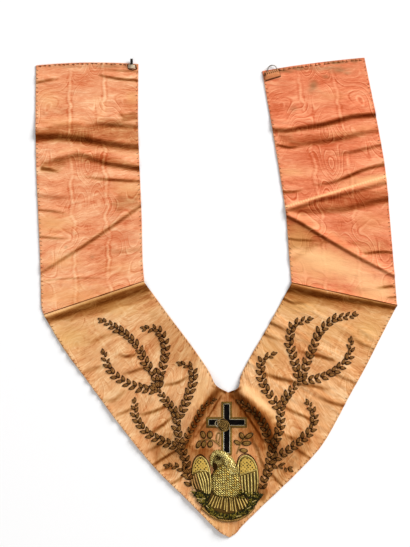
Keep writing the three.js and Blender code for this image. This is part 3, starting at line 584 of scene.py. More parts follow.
# Marks on the silk, each a layout place, its reach in mm both ways and its strength
marks = {
    "stain": [
        ((313, 86), (4, 5), 0.6), ((340, 70), (8, 3), 0.55), ((293, 109), (4, 3), 0.35),
        ((347, 73), (5, 2), 0.45), ((337, 62.5), (10, 1.6), 0.8), ((300, 68.4), (16, 1.6), 0.6),
        ((354, 60.4), (8, 2), 0.6), ((284, 71), (8, 1.6), 0.6), ((70, 66.4), (24, 1.2), 0.35),
        ((110, 66), (22, 1.6), 0.5), ((330, 68), (22, 2.2), 0.45), ((326, 77), (4, 2), 0.4),
        ((133, 67), (5, 3), 0.5), ((265, 76), (2, 2), 0.8), ((60, 110), (9, 4), 0.12),
        ((44, 113), (5, 3), 0.16), ((218, 529), (3, 2), 0.4), ((112, 124), (16, 3), 0.3),
        ((66, 247), (1.6, 1.2), 0.4), ((92, 257), (3, 2), 0.3), ((230, 390), (10, 2), 0.3),
    ],
    # deep: patches of deeper tone, and painted shade in the hollows around the notch and the emblem
    "deep": [
        ((122, 238), (16, 9), 0.6), ((62, 197), (22, 4), 0.5), ((110, 210), (14, 12), 0.25),
        ((110, 111), (5, 5), 0.3), ((286, 84), (15, 6), 0.35), ((90, 74), (30, 5), 0.25),
        ((88, 88), (20, 4), 0.25), ((90, 168), (20, 4), 0.3), ((100, 190), (30, 5), 0.25),
        ((320, 108), (26, 9), 0.2), ((345, 145), (24, 7), 0.3), ((300, 160), (12, 10), 0.2),
        ((345, 200), (34, 6), 0.4), ((346, 236), (22, 12), 0.3), ((310, 262), (14, 12), 0.12),
        ((150, 452), (16, 7), 0.4), ((228, 445), (26, 6), 0.5), ((250, 475), (14, 20), 0.35),
        ((138, 372), (12, 5), 0.3), ((228, 400), (20, 12), 0.5), ((228, 470), (40, 30), 0.35),
        ((285, 448), (16, 8), 0.35), ((205, 432), (14, 10), 0.35), ((110, 404), (10, 6), 0.25),
        ((230, 520), (16, 8), 0.25),
    ],
    "yellow": [
        ((52, 224), (18, 9), 0.6), ((62, 262), (16, 8), 0.4), ((70, 296), (40, 12), 0.5),
        ((128, 188), (16, 7), 0.5), ((50, 100), (12, 9), 0.35), ((132, 98), (7, 9), 0.5),
        ((120, 268), (20, 8), 0.25), ((60, 122), (20, 4), 0.3), ((318, 262), (40, 18), 0.95),
        ((376, 294), (26, 9), 0.8), ((298, 238), (16, 14), 0.9), ((292, 172), (16, 5), 0.6),
        ((372, 180), (20, 5), 0.7), ((370, 222), (18, 12), 0.35), ((365, 128), (12, 4), 0.3),
        ((330, 96), (14, 5), 0.3), ((70, 338), (20, 12), 0.6), ((110, 306), (30, 8), 0.5),
        ((300, 306), (30, 10), 0.6), ((368, 330), (16, 14), 0.6), ((270, 350), (14, 20), 0.4),
        ((330, 330), (30, 14), 0.3), ((200, 396), (8, 16), 0.3), ((262, 398), (8, 16), 0.3),
        ((215, 522), (16, 6), 0.5), ((262, 500), (12, 6), 0.4),
    ],
}

# Brown shade in the hollows, each an outline, the width of its soft edge in mm and its strength
shades = [
    ([(52, 128), (70, 122), (84, 124), (110, 119.6), (139, 124), (139, 144), (110, 140), (84, 136),
      (60, 133)], 8, 0.29),
    ([(36, 128), (60, 126), (60, 134), (36, 135)], 5, 0.25),
    ([(36, 131), (92, 133), (92, 141), (60, 139), (36, 139)], 5, 0.3),
    ([(42, 162), (60, 158), (64, 166), (58, 171), (42, 171)], 7, 0.22),
    ([(56, 162), (76, 153), (100, 156), (139, 164), (139, 170), (100, 164), (70, 162)], 6, 0.3),
    ([(112, 204), (120, 196), (139, 191), (141, 203), (126, 210), (116, 210)], 8, 0.24),
    ([(278, 134), (300, 136), (330, 133), (362, 130), (366, 134), (350, 139), (320, 144), (282, 148)], 5,
     0.22),
    ([(290, 208.6), (330, 197), (362, 191), (386, 190), (389, 201), (360, 207), (340, 211), (302, 214)], 6,
     0.28),
    ([(287, 215.6), (300, 222.6), (324, 236.6), (328, 244), (308, 247), (289, 250)], 5, 0.3),
    ([(350, 243), (376, 240), (388, 242), (388, 254), (370, 256)], 7, 0.16),
    ([(50, 319.4), (100, 303), (146, 288), (152, 299), (118, 308), (70, 321)], 4, 0.3),
    ([(284, 288), (320, 295), (350, 300.6), (394, 309), (390, 314), (345, 307), (300, 302), (282, 297)], 6,
     0.3),
    ([(220, 390), (227, 392), (222, 402), (209, 413), (199, 430), (190, 448), (182, 446), (188, 428),
      (201, 408), (212, 394)], 5, 0.3),
    ([(231, 391), (237, 391), (251, 402), (266, 412), (279, 426), (284, 442), (270, 454), (259, 436),
      (247, 418), (234, 401)], 8, 0.42),
    ([(227, 391), (233, 398), (246, 416), (257, 432), (262, 446), (240, 442), (230, 430), (213, 430),
      (206, 450), (192, 450), (200, 430), (212, 410), (222, 400)], 7, 0.27),
    ([(229, 393), (239, 402), (248, 417), (234, 418), (231, 404)], 5, 0.36),
    ([(202, 426), (222, 426), (220, 434), (200, 434)], 5, 0.22),
    ([(186, 440), (200, 450), (196, 462), (192, 480), (184, 470), (180, 452)], 7, 0.34),
    ([(262, 440), (274, 444), (270, 466), (262, 484), (258, 466)], 7, 0.24),
    ([(196, 450), (206, 448), (214, 449), (210, 459), (204, 458), (196, 456)], 5, 0.5),
    ([(150, 440), (172, 430), (182, 446), (184, 470), (170, 474), (156, 462)], 8, 0.24),
    ([(276, 440), (300, 432), (312, 444), (300, 460), (280, 484), (268, 480)], 8, 0.26),
    ([(212, 520), (246, 520), (238, 530), (229.6, 538), (221, 530)], 6, 0.06),
    ([(150, 312), (176, 318), (196, 350), (200, 372), (184, 372), (160, 352), (148, 330)], 10, 0.14),
    ([(238, 404), (247, 411), (257, 423), (264, 437), (266, 450), (258, 448), (250, 434), (242, 420)], 5,
     0.35),
    ([(256, 486), (265, 484), (267, 494), (263, 502), (256, 500)], 4, 0.6),
    ([(120, 114), (136, 113), (139, 121), (124, 121)], 4, 0.4),
]

# Painted highlights on the silk, each a path, its reach in mm and its strength
glints = [
    ([(286, 206.8), (308, 199.8), (330, 193.4), (352, 186.4), (386, 176)], 1.5, 0.9),
    ([(290, 212.6), (306, 217), (326, 229), (345, 240)], 3, 0.25),
    ([(340, 186), (362, 181), (386, 174)], 4, 0.3),
    ([(296, 248), (318, 258), (346, 270), (382, 288)], 12, 0.5),
    ([(42, 270.6), (60, 258.4), (80, 245.8), (100, 232.2), (120, 218.2), (140, 203.6)], 1.2, 0.35),
    ([(60, 152), (80, 147.4), (104, 150), (136, 155)], 2.6, 0.35),
    ([(96, 100), (104, 106), (100, 116)], 7, 0.25),
    ([(44, 316), (70, 307.6), (100, 297.6), (144, 283)], 1.5, 1.5),
    ([(206, 380), (196, 396), (184, 414), (174, 428)], 6, 0.45),
    ([(246, 388), (258, 400), (268, 409), (277, 419)], 5, 0.7),
    ([(286, 400), (292, 414), (288, 426)], 5, 0.25),
    ([(100, 408), (130, 440), (160, 471), (190, 500.6), (219, 529)], 1.6, 0.45),
    ([(246, 519), (262, 502), (282, 484), (304, 462)], 1.6, 0.3),
    ([(36.2, 72), (36, 120), (36.6, 170), (39, 225), (41, 275), (42, 306)], 1.2, 0.5),
    ([(264.4, 80), (270.8, 118), (279.4, 168), (286.2, 214), (289.4, 252), (291.4, 276)], 1.2, 0.5),
]


def insideBy(outline, x, y):    # distance to the outline, above 0 inside it
    corners = np.asarray(outline, float)
    gap, inside = np.full(x.shape, 1e9), np.zeros(x.shape, bool)
    for (ax, ay), (bx, by) in zip(corners, np.roll(corners, -1, axis=0)):
        wide, high = bx - ax, by - ay
        share = np.clip(((x - ax) * wide + (y - ay) * high) / (wide ** 2 + high ** 2), 0, 1)
        gap = np.minimum(gap, np.hypot(x - ax - share * wide, y - ay - share * high))
        if high:
            inside ^= ((ay > y) != (by > y)) & (x < wide * (y - ay) / high + ax)
    return np.where(inside, gap, -gap)


def shadeAt(x, y):
    clear = np.ones(x.shape)
    wobble = latticeNoise(x / 7 + 30, y / 2.4 + 30, 63)
    for outline, soft, strength in shades:
        depth = np.clip(0.5 + insideBy(outline, x, y) / soft + 0.3 * wobble, 0, 1)
        clear = clear * (1 - strength * depth * depth * (3 - 2 * depth))
    return 1 - clear


def glintAt(x, y):
    total = np.zeros(x.shape)
    for path, reach, strength in glints:
        line = smoothPath(path, 40)
        near = (x > line[:, 0].min() - 3 * reach) & (x < line[:, 0].max() + 3 * reach)
        near &= (y > line[:, 1].min() - 3 * reach) & (y < line[:, 1].max() + 3 * reach)
        place = np.stack([x[near], y[near]], -1)
        gap = np.sqrt(((place[:, None, :] - line[None]) ** 2).sum(-1).min(1)) / reach
        total[near] = np.maximum(total[near], strength * np.exp(-gap ** 2))
    return total


def blotches(rows, x, y):
    total = np.zeros_like(x)
    wobble = 1 + 0.35 * latticeNoise(x / 5 + 30, y / 3 + 30, 91)
    for (cx, cy), (rx, ry), strength in rows:
        gap = ((x - cx) / rx) ** 2 + ((y - cy) / ry) ** 2
        total = np.maximum(total, strength * np.exp(-gap * wobble ** 2))
    return total


def acrossShares(length):    # shares of a width, closer together at the two rounded edges
    step = weaving["gridStep"]
    near = list(weaving["roundSteps"])
    middle = np.linspace(near[-1], length - near[-1], int((length - 2 * near[-1]) / step) + 2)[1:-1]
    return np.array(near + list(middle) + [length - d for d in reversed(near)]) / length


def setValues(mesh, name, values):    # a number for each vertex
    mesh.attributes.new(name, "FLOAT", "POINT").data.foreach_set("value", values)


def meshObject(name, vertices, faces, material):
    mesh = bpy.data.meshes.new(name)
    mesh.from_pydata([tuple(v) for v in vertices], [], [tuple(f) for f in faces])
    mesh.materials.append(material)
    mesh.polygons.foreach_set("use_smooth", [True] * len(mesh.polygons))
    return addObject(name, mesh)


def gridFaces(rows, columns, start=0, flip=False):
    corner = np.arange(rows * columns).reshape(rows, columns) + start
    faces = np.stack([corner[:-1, :-1], corner[1:, :-1], corner[1:, 1:], corner[:-1, 1:]], -1).reshape(-1, 4)
    return faces[:, ::-1] if flip else faces


def rimOf(rows, columns):
    corner = np.arange(rows * columns).reshape(rows, columns)
    return np.concatenate([corner[0, :-1], corner[:-1, -1], corner[-1, :0:-1], corner[:0:-1, 0]])


# A closed sheet between two heights in mm, from a grid of places
def layered(name, x, y, top, low, material):
    flat = toFrame(np.stack([x.ravel(), y.ravel()], -1))
    vertices = np.vstack([np.column_stack([flat, level.ravel() * mm]) for level in (top, low)])
    rim = rimOf(*x.shape)
    after = np.roll(rim, -1)
    side = np.stack([rim, after, after + x.size, rim + x.size], -1)
    faces = np.vstack([gridFaces(*x.shape), gridFaces(*x.shape, x.size, flip=True), side])
    (ax, ay), (bx, by) = flat[x.shape[1]] - flat[0], flat[1] - flat[0]
    return meshObject(name, vertices, faces[:, ::-1] if ax * by < ay * bx else faces, material)


# Each vertex's place on the ribbon in metres, and how the silk is marked there, alike above and below
def dressSilk(mesh, u, v, values):
    u, v = np.tile(u.ravel(), 2), np.tile(v.ravel(), 2)
    values = {kind: np.tile(value.ravel(), 2) for kind, value in values.items()}
    uv = mesh.uv_layers.new(name="ribbonMm")
    corners = np.zeros(len(mesh.loops), int)
    mesh.loops.foreach_get("vertex_index", corners)
    uv.data.foreach_set("uv", np.stack([u, v], -1)[corners].ravel())
    # tones holds the folds' painted shade, the darkened edges, and the deep patches, part of which are
    # painted shade
    tones = np.stack([values["dark"], values["edge"], values["deep"], np.ones(len(u))], -1)
    mesh.color_attributes.new("tones", "FLOAT_COLOR", "POINT").data.foreach_set("color", tones.ravel())
    for kind in ("stain", "yellow", "shade", "pale"):
        setValues(mesh, kind, values[kind])


def ribbonObject(name, look):
    length = lengthOf(look["outer"])
    inset = weaving["seamGap"] / 2 / length
    along = inset + (1 - 2 * inset) * acrossShares(length)
    across = acrossShares(weaving["width"])
    outer, inner = smoothPath(look["outer"], along), smoothPath(look["inner"], along)
    share = across[None, :, None]
    place = outer[:, None, :] * (1 - share) + inner[:, None, :] * share
    fade = np.maximum(0, 1 - weaving["bowFade"] * np.linspace(0, 1, len(along)))[:, None]
    x = place[..., 0]
    y = place[..., 1] - look["endBow"] * 4 * (across * (1 - across))[None, :] * fade

    lift, dark = clothAt(x, y)
    side = np.minimum(across, 1 - across)[None, :] * weaving["width"]
    turned = np.clip(1 - side / weaving["edgeRound"], 0, 1)
    noise = 0.5 + 0.5 * latticeNoise(along[:, None] * length / 5 + 20, across[None, :] * 9 + 20, 57)
    edge = np.clip(1 - side / weaving["edgeDark"], 0, 1) * noise * weaving["edgeDirt"]
    for kind, share in zip(look["ends"], (along, 1 - along)):
        roundOver, darkOver, strength = endKinds[kind]
        gap = (share * length)[:, None]
        turned = np.maximum(turned, np.clip(1 - gap / roundOver, 0, 1))
        edge = np.maximum(edge, strength * np.clip(1 - gap / darkOver, 0, 1) * (0.6 + 0.4 * noise))
    swell = 0.7 + 0.3 * np.sqrt(1 - turned ** 2)
    top = lift + clothThickness * swell
    bottom = lift + clothThickness * (1 - swell) * 0.8
    rows, columns = x.shape
    made = layered(name + "_silk", x, y, top, bottom, silkMaterial(look["silk"]))
    values = {"dark": dark, "edge": edge, "shade": shadeAt(x, y), "pale": glintAt(x, y)}
    values.update({kind: blotches(spots, x, y) for kind, spots in marks.items()})
    dressSilk(made.data, np.tile(across * 0.1, (rows, 1)), np.repeat(along * length * mm, columns), values)
    return made


# Geometry Nodes
def newTree(name, inputs):
    inputs = [("Geometry", "Geometry", None), *inputs, ("Material", "Material", None)]
    return newGroup(name, inputs, [("Geometry", "Geometry")], "GeometryNodeTree")


def vectorCalc(tree, operation, first, second):
    return addNode(tree, "ShaderNodeVectorMath", {0: first, 1: second}, operation=operation).outputs[0]


def inPaintedShade(tree, base):    # darkens a colour by the painted shade of the silk below it
    left = combine(tree, *(calc(tree, "POWER", part, attribute(tree, "shade")) for part in shadeColour))
    return mixColour(tree, 0.8, base, left, "MULTIPLY")


def readValue(tree, name):
    return addNode(tree, "GeometryNodeInputNamedAttribute", {"Name": name}, data_type="FLOAT").outputs[0]


def storeValue(tree, geometry, name, kind, value):
    inputs = {"Geometry": geometry, "Name": name, "Value": value}
    return addNode(tree, "GeometryNodeStoreNamedAttribute", inputs, data_type=kind, domain="POINT").outputs[0]


def finishTree(tree, geometry, given, out):
    realized = addNode(tree, "GeometryNodeRealizeInstances", {"Geometry": geometry}).outputs[0]
    smooth = addNode(tree, "GeometryNodeSetShadeSmooth", {"Geometry": realized}).outputs[0]
    inputs = {"Geometry": smooth, "Material": given.outputs["Material"]}
    tree.links.new(addNode(tree, "GeometryNodeSetMaterial", inputs).outputs[0], out.inputs["Geometry"])


def tubeAlong(tree, curve, radius, sides):    # a round thread, which keeps its place along and around
    length = addNode(tree, "GeometryNodeSplineParameter").outputs["Length"]
    curve = storeValue(tree, curve, "along", "FLOAT", length)
    inputs = {"Resolution": sides, "Radius": radius}
    circle = addNode(tree, "GeometryNodeCurvePrimitiveCircle", inputs, mode="RADIUS")
    factor = addNode(tree, "GeometryNodeSplineParameter").outputs["Factor"]
    profile = storeValue(tree, circle.outputs[0], "around", "FLOAT", factor)
    inputs = {"Curve": curve, "Profile Curve": profile, "Fill Caps": True}
    node = addNode(tree, "GeometryNodeCurveToMesh", inputs)
    if "Scale" in node.inputs:
        tree.links.new(addNode(tree, "GeometryNodeInputRadius").outputs[0], node.inputs["Scale"])
    return node.outputs[0]


def makeCordTree():    # threads along every drawn line, as thick as the line's width attribute
    tree, given, out = newTree("cords", [("Thickness", "Float", 1.0), ("Sides", "Int", 6)])
    curve = addNode(tree, "GeometryNodeMeshToCurve", {0: given.outputs[0]}).outputs[0]
    inputs = {0: curve, "Radius": readValue(tree, "width")}
    curve = addNode(tree, "GeometryNodeSetCurveRadius", inputs).outputs[0]
    radius = calc(tree, "MULTIPLY", given.outputs["Thickness"], 0.5)
    finishTree(tree, tubeAlong(tree, curve, radius, given.outputs["Sides"]), given, out)
    return tree


def leafBlank(tree, segments, rings):    # a leaf 1 long from its foot, and its places, flat below
    inputs = {"Segments": segments, "Rings": rings, "Radius": 0.5}
    ball = addNode(tree, "GeometryNodeMeshUVSphere", inputs).outputs["Mesh"]
    ball = addNode(tree, "GeometryNodeTransform", {"Geometry": ball, "Translation": (0.5, 0, 0)}).outputs[0]
    place = addNode(tree, "GeometryNodeInputPosition").outputs[0]
    ball = storeValue(tree, ball, "leafPlace", "FLOAT_VECTOR", place)
    split = addNode(tree, "ShaderNodeSeparateXYZ", {0: place})
    flat = calc(tree, "MAXIMUM", calc(tree, "MULTIPLY", split.outputs[2], 2.0), 0.0)
    return ball, split.outputs[0], split.outputs[1], flat


def headingBack(tree, tangent):    # the angle that points against a line's run
    way = addNode(tree, "ShaderNodeSeparateXYZ", {0: tangent})
    back = [calc(tree, "MULTIPLY", way.outputs[axis], -1) for axis in (1, 0)]
    return calc(tree, "ARCTAN2", *back)


# How a spray's leaves vary: their share of a spacing at which each side starts, turn, size and tip
spraying = {
    "starts": ((1, 0.1), (-1, 0.55)), "turn": 0.16, "grow": 0.1, "first": 0.7, "vary": 0.5, "tip": 0.8,
}


def makeSprayTree():    # a stem with pairs of leaves that point to its tip, where the line starts
    tree, given, out = newTree(
        "spray",
        [
            ("Leaf Spacing", "Float", 0.0062), ("Leaf Length", "Float", 0.0078),
            ("Leaf Width", "Float", 0.0039), ("Leaf Height", "Float", 0.0012),
            ("Leaf Angle", "Float", math.radians(37)),
            ("Stem Radius", "Float", 0.0006), ("Seed", "Int", 3),
        ],
    )
    curve = addNode(tree, "GeometryNodeMeshToCurve", {0: given.outputs[0]}).outputs[0]
    ball, ahead, aside, flat = leafBlank(tree, 10, 6)
    taper = calc(tree, "MULTIPLY_ADD", calc(tree, "POWER", ahead, 2.0), -0.7, 1.2)
    shape = combine(tree, ahead, calc(tree, "MULTIPLY", aside, taper), flat)
    size = combine(tree, given.outputs["Leaf Length"], given.outputs["Leaf Width"],
                   given.outputs["Leaf Height"])
    inputs = {"Geometry": ball, "Position": vectorCalc(tree, "MULTIPLY", shape, size)}
    leaf = addNode(tree, "GeometryNodeSetPosition", inputs).outputs[0]

    shift = given.outputs["Leaf Spacing"]
    sides = []
    for side, start in spraying["starts"]:
        inputs = {"Curve": curve, 4: calc(tree, "MULTIPLY", shift, start), 5: 10.0}
        trimmed = addNode(tree, "GeometryNodeTrimCurve", inputs, mode="LENGTH").outputs[0]
        inputs = {"Curve": trimmed, "Length": shift}
        points = addNode(tree, "GeometryNodeCurveToPoints", inputs, mode="LENGTH")
        turn = headingBack(tree, points.outputs["Tangent"])
        turn = calc(tree, "MULTIPLY_ADD", given.outputs["Leaf Angle"], side, turn)
        number = addNode(tree, "GeometryNodeInputIndex").outputs[0]
        seed = calc(tree, "ADD", given.outputs["Seed"], side)
        inputs = {2: -spraying["turn"], 3: spraying["turn"], "ID": number, "Seed": seed}
        jitter = addNode(tree, "FunctionNodeRandomValue", inputs, data_type="FLOAT").outputs[1]
        size = calc(tree, "MULTIPLY_ADD", number, spraying["grow"], spraying["first"])
        size = calc(tree, "MULTIPLY_ADD", jitter, spraying["vary"], calc(tree, "MINIMUM", size, 1.0))
        inputs = {
            "Points": points.outputs["Points"], "Instance": leaf,
            "Rotation": combine(tree, 0, 0, calc(tree, "ADD", turn, jitter)),
            "Scale": combine(tree, size, size, size),
        }
        sides.append(addNode(tree, "GeometryNodeInstanceOnPoints", inputs).outputs[0])

    tip = addNode(tree, "GeometryNodeSampleCurve", {"Curves": curve, "Factor": 0.0}, mode="FACTOR")
    turn = combine(tree, 0, 0, headingBack(tree, tip.outputs["Tangent"]))
    point = addNode(tree, "GeometryNodePoints", {"Count": 1, "Position": tip.outputs["Position"]}).outputs[0]
    inputs = {"Points": point, "Instance": leaf, "Rotation": turn, "Scale": [spraying["tip"]] * 3}
    end = addNode(tree, "GeometryNodeInstanceOnPoints", inputs).outputs[0]
    stem = tubeAlong(tree, curve, given.outputs["Stem Radius"], 6)
    joined = addNode(tree, "GeometryNodeJoinGeometry")
    for part in (stem, end, *sides):
        tree.links.new(part, joined.inputs[0])
    finishTree(tree, joined.outputs[0], given, out)
    return tree


cordTree = makeCordTree()
sprayTree = makeSprayTree()


def drawnLines(name, lines):    # lines of (x, y, z over the table, width) in layout mm, as a mesh of edges
    vertices, edges, widths = [], [], []
    for line, closed in lines:
        first, count = len(vertices), len(line)
        flat = toFrame(line[:, :2])
        vertices += [(x, y, z * mm) for (x, y), z in zip(flat, line[:, 2])]
        edges += [(first + i, first + i + 1) for i in range(count - 1)]
        if closed:
            edges.append((first + count - 1, first))
        widths += list(line[:, 3])
    mesh = bpy.data.meshes.new(name)
    mesh.from_pydata(vertices, edges, [])
    setValues(mesh, "width", widths)
    return addObject(name, mesh)


def grow(piece, tree, inputs):    # runs the tree on the piece and keeps its result as the piece's mesh
    modifier = piece.modifiers.new("build", "NODES")
    modifier.node_group = tree
    for socket in tree.interface.items_tree:
        if socket.item_type == "SOCKET" and socket.in_out == "INPUT" and socket.name in inputs:
            modifier[socket.identifier] = inputs[socket.name]
    evaluated = piece.evaluated_get(bpy.context.evaluated_depsgraph_get())
    mesh = bpy.data.meshes.new_from_object(evaluated)
    piece.modifiers.remove(modifier)
    piece.data = mesh
    return piece


def layOnCloth(piece):    # raises each vertex by the cloth below it
    places = np.zeros(len(piece.data.vertices) * 3)
    piece.data.vertices.foreach_get("co", places)
    places = places.reshape(-1, 3)
    x, y = toLayout(places[:, 0], places[:, 1])
    places[:, 2] += topMm(x, y) * mm
    piece.data.vertices.foreach_set("co", places.ravel())
    # the silk's painted shade at each vertex, which darkens the thread and leaf colours
    setValues(piece.data, "shade", shadeAt(x, y))
    piece.data.update()


def joinPieces(name, pieces):
    with bpy.context.temp_override(active_object=pieces[0], selected_editable_objects=pieces):
        bpy.ops.object.join()
    pieces[0].name = name
    return pieces[0]


sewnOn = {name: [] for name in ribbons}


def handOver(piece, nodes, ribbon=None):
    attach(piece, "root")
    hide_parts(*nodes)
    if ribbon:
        sewnOn[ribbon].append(piece)


# Thread materials
def makeTwist():    # the twist of a wound thread, from its place along and around
    inputs = [("Along", "Float", 0.0), ("Around", "Float", 0.0), ("Pitch", "Float", 0.0012)]
    group, given, out = newGroup("twist", inputs, [("Height", "Float")])
    turns = calc(group, "DIVIDE", given.outputs["Along"], given.outputs["Pitch"])
    phase = calc(group, "MULTIPLY", calc(group, "ADD", turns, given.outputs["Around"]), 2 * math.pi)
    group.links.new(calc(group, "MULTIPLY_ADD", calc(group, "SINE", phase), 0.5, 0.5), out.inputs["Height"])
    return group


twist = makeTwist()
threadColumns = ("light", "mid", "dark", "metal", "rough")
threadRows = {
    "bronze": ((196, 142, 76), (102, 60, 24), (26, 10, 2), 0.08, 0.55),
    "oldBronze": ((186, 146, 80), (142, 102, 46), (56, 34, 8), 0.15, 0.5),
    "paleGold": ((252, 232, 150), (212, 174, 76), (62, 42, 4), 0.4, 0.36),
    "oldGold": ((178, 146, 58), (126, 94, 28), (46, 28, 2), 0.35, 0.45),
    "tailGold": ((252, 222, 132), (206, 160, 70), (70, 46, 8), 0.3, 0.42),
    "silver": ((236, 232, 214), (196, 188, 164), (80, 70, 44), 0.45, 0.36),
    "rosy": ((220, 172, 106), (176, 126, 64), (70, 36, 8), 0.25, 0.45),
    "straw": ((236, 214, 148), (200, 170, 96), (98, 72, 24), 0.1, 0.6),
    "rose": ((216, 180, 106), (132, 102, 52), (42, 26, 8), 0.15, 0.5),
    "breastGold": ((255, 238, 142), (230, 184, 68), (58, 34, 4), 0.4, 0.38),
    "tailGround": ((112, 84, 36), (82, 58, 22), (44, 28, 8), 0.05, 0.7),
    "roseGround": ((74, 52, 24), (50, 34, 14), (26, 16, 4), 0.05, 0.7),
    "sewing": ((142, 76, 26), (100, 44, 10), (58, 20, 2), 0.0, 0.85),
    "blackSewing": ((60, 36, 12), (38, 20, 4), (14, 6, 0), 0.0, 0.9),
    "cream": ((250, 240, 218), (232, 212, 180), (150, 112, 74), 0.0, 0.7),
}
threads = {name: dict(zip(threadColumns, row)) for name, row in threadRows.items()}
lowMids = {"bronze": (96, 46, 20)}    # a redder middle tone for leaves low on the collar
warmGlint = (1.0, 0.8, 0.45, 1)


def flankShade(tree, steep=0.8):    # 1 on the flanks of a cord or leaf, 0 on top of it: where painted shade darkens the colour
    normal = addNode(tree, "ShaderNodeTexCoord").outputs["Normal"]
    return remap(tree, addNode(tree, "ShaderNodeSeparateXYZ", {0: normal}).outputs[2], 0.25, steep, 1.0, 0.0)


def colours(look):
    return (linear(*look[key]) for key in ("light", "mid", "dark"))


def shineAsMetal(shader, look):
    setPlain(shader, {"Metallic": look["metal"], "Roughness": look["rough"], "Specular Tint": warmGlint})


def shineAsThread(shader, look):
    shineAsMetal(shader, look)
    shader.inputs["Specular IOR Level"].default_value = 0.05 + 1.5 * min(0.3, look["metal"])


def threadMaterial(name, pitch):
    look = threads[name]
    light, mid, dark = colours(look)
    material, tree, shader = newMaterial(name + "Thread")
    inputs = {"Along": attribute(tree, "along"), "Around": attribute(tree, "around"), "Pitch": pitch * mm}
    height = groupNode(tree, twist, inputs).outputs["Height"]
    dirt = placeAndDirt(tree, 160.0)[1]
    # colour follows the twist's height: painted shade in its grooves, a painted highlight on its crests
    base = mixColour(tree, remap(tree, height, -0.4, 0.5), dark, mid)
    base = mixColour(tree, remap(tree, height, 0.3, 1.0), base, light)
    base = tint(tree, tint(tree, base, dirt, 0.3, dark), flankShade(tree), 0.9, dark)
    dress(tree, shader, inPaintedShade(tree, base), height, 0.5, 0.0003)
    shineAsThread(shader, look)
    return material


def leafMaterial(name):    # purl leaves: dark rim, lighter padded middle, slanting stitches; the colour follows the relief, painted shade at the rim and along the middle, a painted highlight on the padding
    look = threads[name]
    light, mid, dark = colours(look)
    material, tree, shader = newMaterial(name + "Leaf")
    split = addNode(tree, "ShaderNodeSeparateXYZ", {0: attribute(tree, "leafPlace", "Vector")})
    wide = calc(tree, "ABSOLUTE", split.outputs[1])
    offMiddle = combine(tree, calc(tree, "SUBTRACT", split.outputs[0], 0.5), wide, 0)
    radial = addNode(tree, "ShaderNodeVectorMath", {0: offMiddle}, operation="LENGTH").outputs["Value"]
    body = remap(tree, calc(tree, "MULTIPLY", radial, 2.0), 0.44, 0.88, 1.0, 0.0)
    middle = remap(tree, wide, 0.02, 0.08, 0.35, 1.0)
    stitch = calc(tree, "SINE", calc(tree, "MULTIPLY", calc(tree, "ADD", split.outputs[0], wide), 44.0))
    height = calc(tree, "MULTIPLY", calc(tree, "MULTIPLY_ADD", stitch, 0.3, 0.7),
                  calc(tree, "MULTIPLY", body, middle))
    objectPlace, dirt = placeAndDirt(tree, 90.0)
    if name in lowMids:
        upper = addNode(tree, "ShaderNodeSeparateXYZ", {0: objectPlace}).outputs[1]
        mid = mixColour(tree, remap(tree, upper, -0.15, -0.05), mid, linear(*lowMids[name]))
    base = mixColour(tree, remap(tree, height, 0.02, 0.5), dark, mid)
    base = mixColour(tree, remap(tree, height, 0.5, 0.95), base, light)
    base = tint(tree, tint(tree, base, dirt, 0.25, dark), flankShade(tree, 0.6), 0.9, dark)
    dress(tree, shader, inPaintedShade(tree, base), height, 0.8, 0.0004)
    shineAsThread(shader, look)
    return material


def cords(name, lines, material, thickness, sides=6):
    inputs = {"Thickness": thickness * mm, "Sides": sides, "Material": material}
    piece = grow(drawnLines(name, lines), cordTree, inputs)
    layOnCloth(piece)
    return piece


def asLine(flat, height, width=1.0):
    flat = np.asarray(flat, float)
    return np.column_stack([flat, np.broadcast_to(height, len(flat)), np.broadcast_to(width, len(flat))])


def laid(places, count, height, width=1.0):    # an open line along a smooth path
    return asLine(smoothPath(places, count), height, width), False


makeStudio()
ribbonPieces = {name: ribbonObject(name, look) for name, look in ribbons.items()}
print("ribbons woven")

# Whip stitches over the edges of the ribbons, and running stitches along the two hems
sewing = {"spacing": 4.3, "inset": 0.7, "long": 1.7, "slant": 0.7, "bow": 0.14, "thickness": 0.5, "seed": 71}


def stitchLines(look, seed):
    draw = np.random.default_rng(seed)
    lines = []
    rise = [0.0, sewing["bow"], 0.0]
    edges = [(look["outer"], look["inner"]), (look["inner"], look["outer"])]
    if look["ends"][0] == "hem":
        edges.append(([look["outer"][0], look["inner"][0]], [look["outer"][1], look["inner"][1]]))
    for number, (edge, beyond) in enumerate(edges):
        count = int(lengthOf(edge) / sewing["spacing"])
        path, far = smoothPath(edge, count), smoothPath(beyond, count)
        share = np.linspace(0, 1, count)
        if number == 2:
            path[:, 1] -= look["endBow"] * 4 * share * (1 - share)
        way, inward = np.gradient(path, axis=0), far - path
        way, inward = (v / np.linalg.norm(v, axis=1)[:, None] for v in (way, inward))
        for place, ahead, into, (a, b, c) in zip(path[1:-1], way[1:-1], inward[1:-1],
                                                 draw.uniform(-1, 1, (count, 3))):
            start = place + into * (sewing["inset"] + 0.1 * a) + ahead * 0.7 * b
            end = start + into * sewing["long"] * (0.9 + 0.3 * c) + ahead * sewing["slant"]
            lines.append((asLine([start, (start + end) / 2, end], rise), False))
            if number == 2:
                middle = place + into * (look["hemAt"] + 0.3 * c) + ahead * b
                ends = middle - ahead * 1.4, middle + ahead * 1.5
                lines.append((asLine([ends[0], middle, ends[1]], rise, 1.3), False))
    if look["ends"][1] == "fold":
        ends = [np.array(look[edge][-1]) - (0, look["seamAt"]) for edge in ("outer", "inner")]
        thick = 2.4 + 0.8 * latticeNoise(np.arange(60) / 5 + 3, np.full(60, 2.5), seed)
        lines.append(laid(ends, 60, -0.2, thick))
    return lines


sewingThread = threadMaterial("sewing", 1.0)
for order, (name, look) in enumerate(ribbons.items()):
    stitches = cords(name + "_stitches", stitchLines(look, sewing["seed"] + order), sewingThread,
                     sewing["thickness"], 5)
    silk = ribbonPieces[name]
    ribbonPieces[name] = joinPieces(silk.name, [silk, stitches])
print("edges stitched")

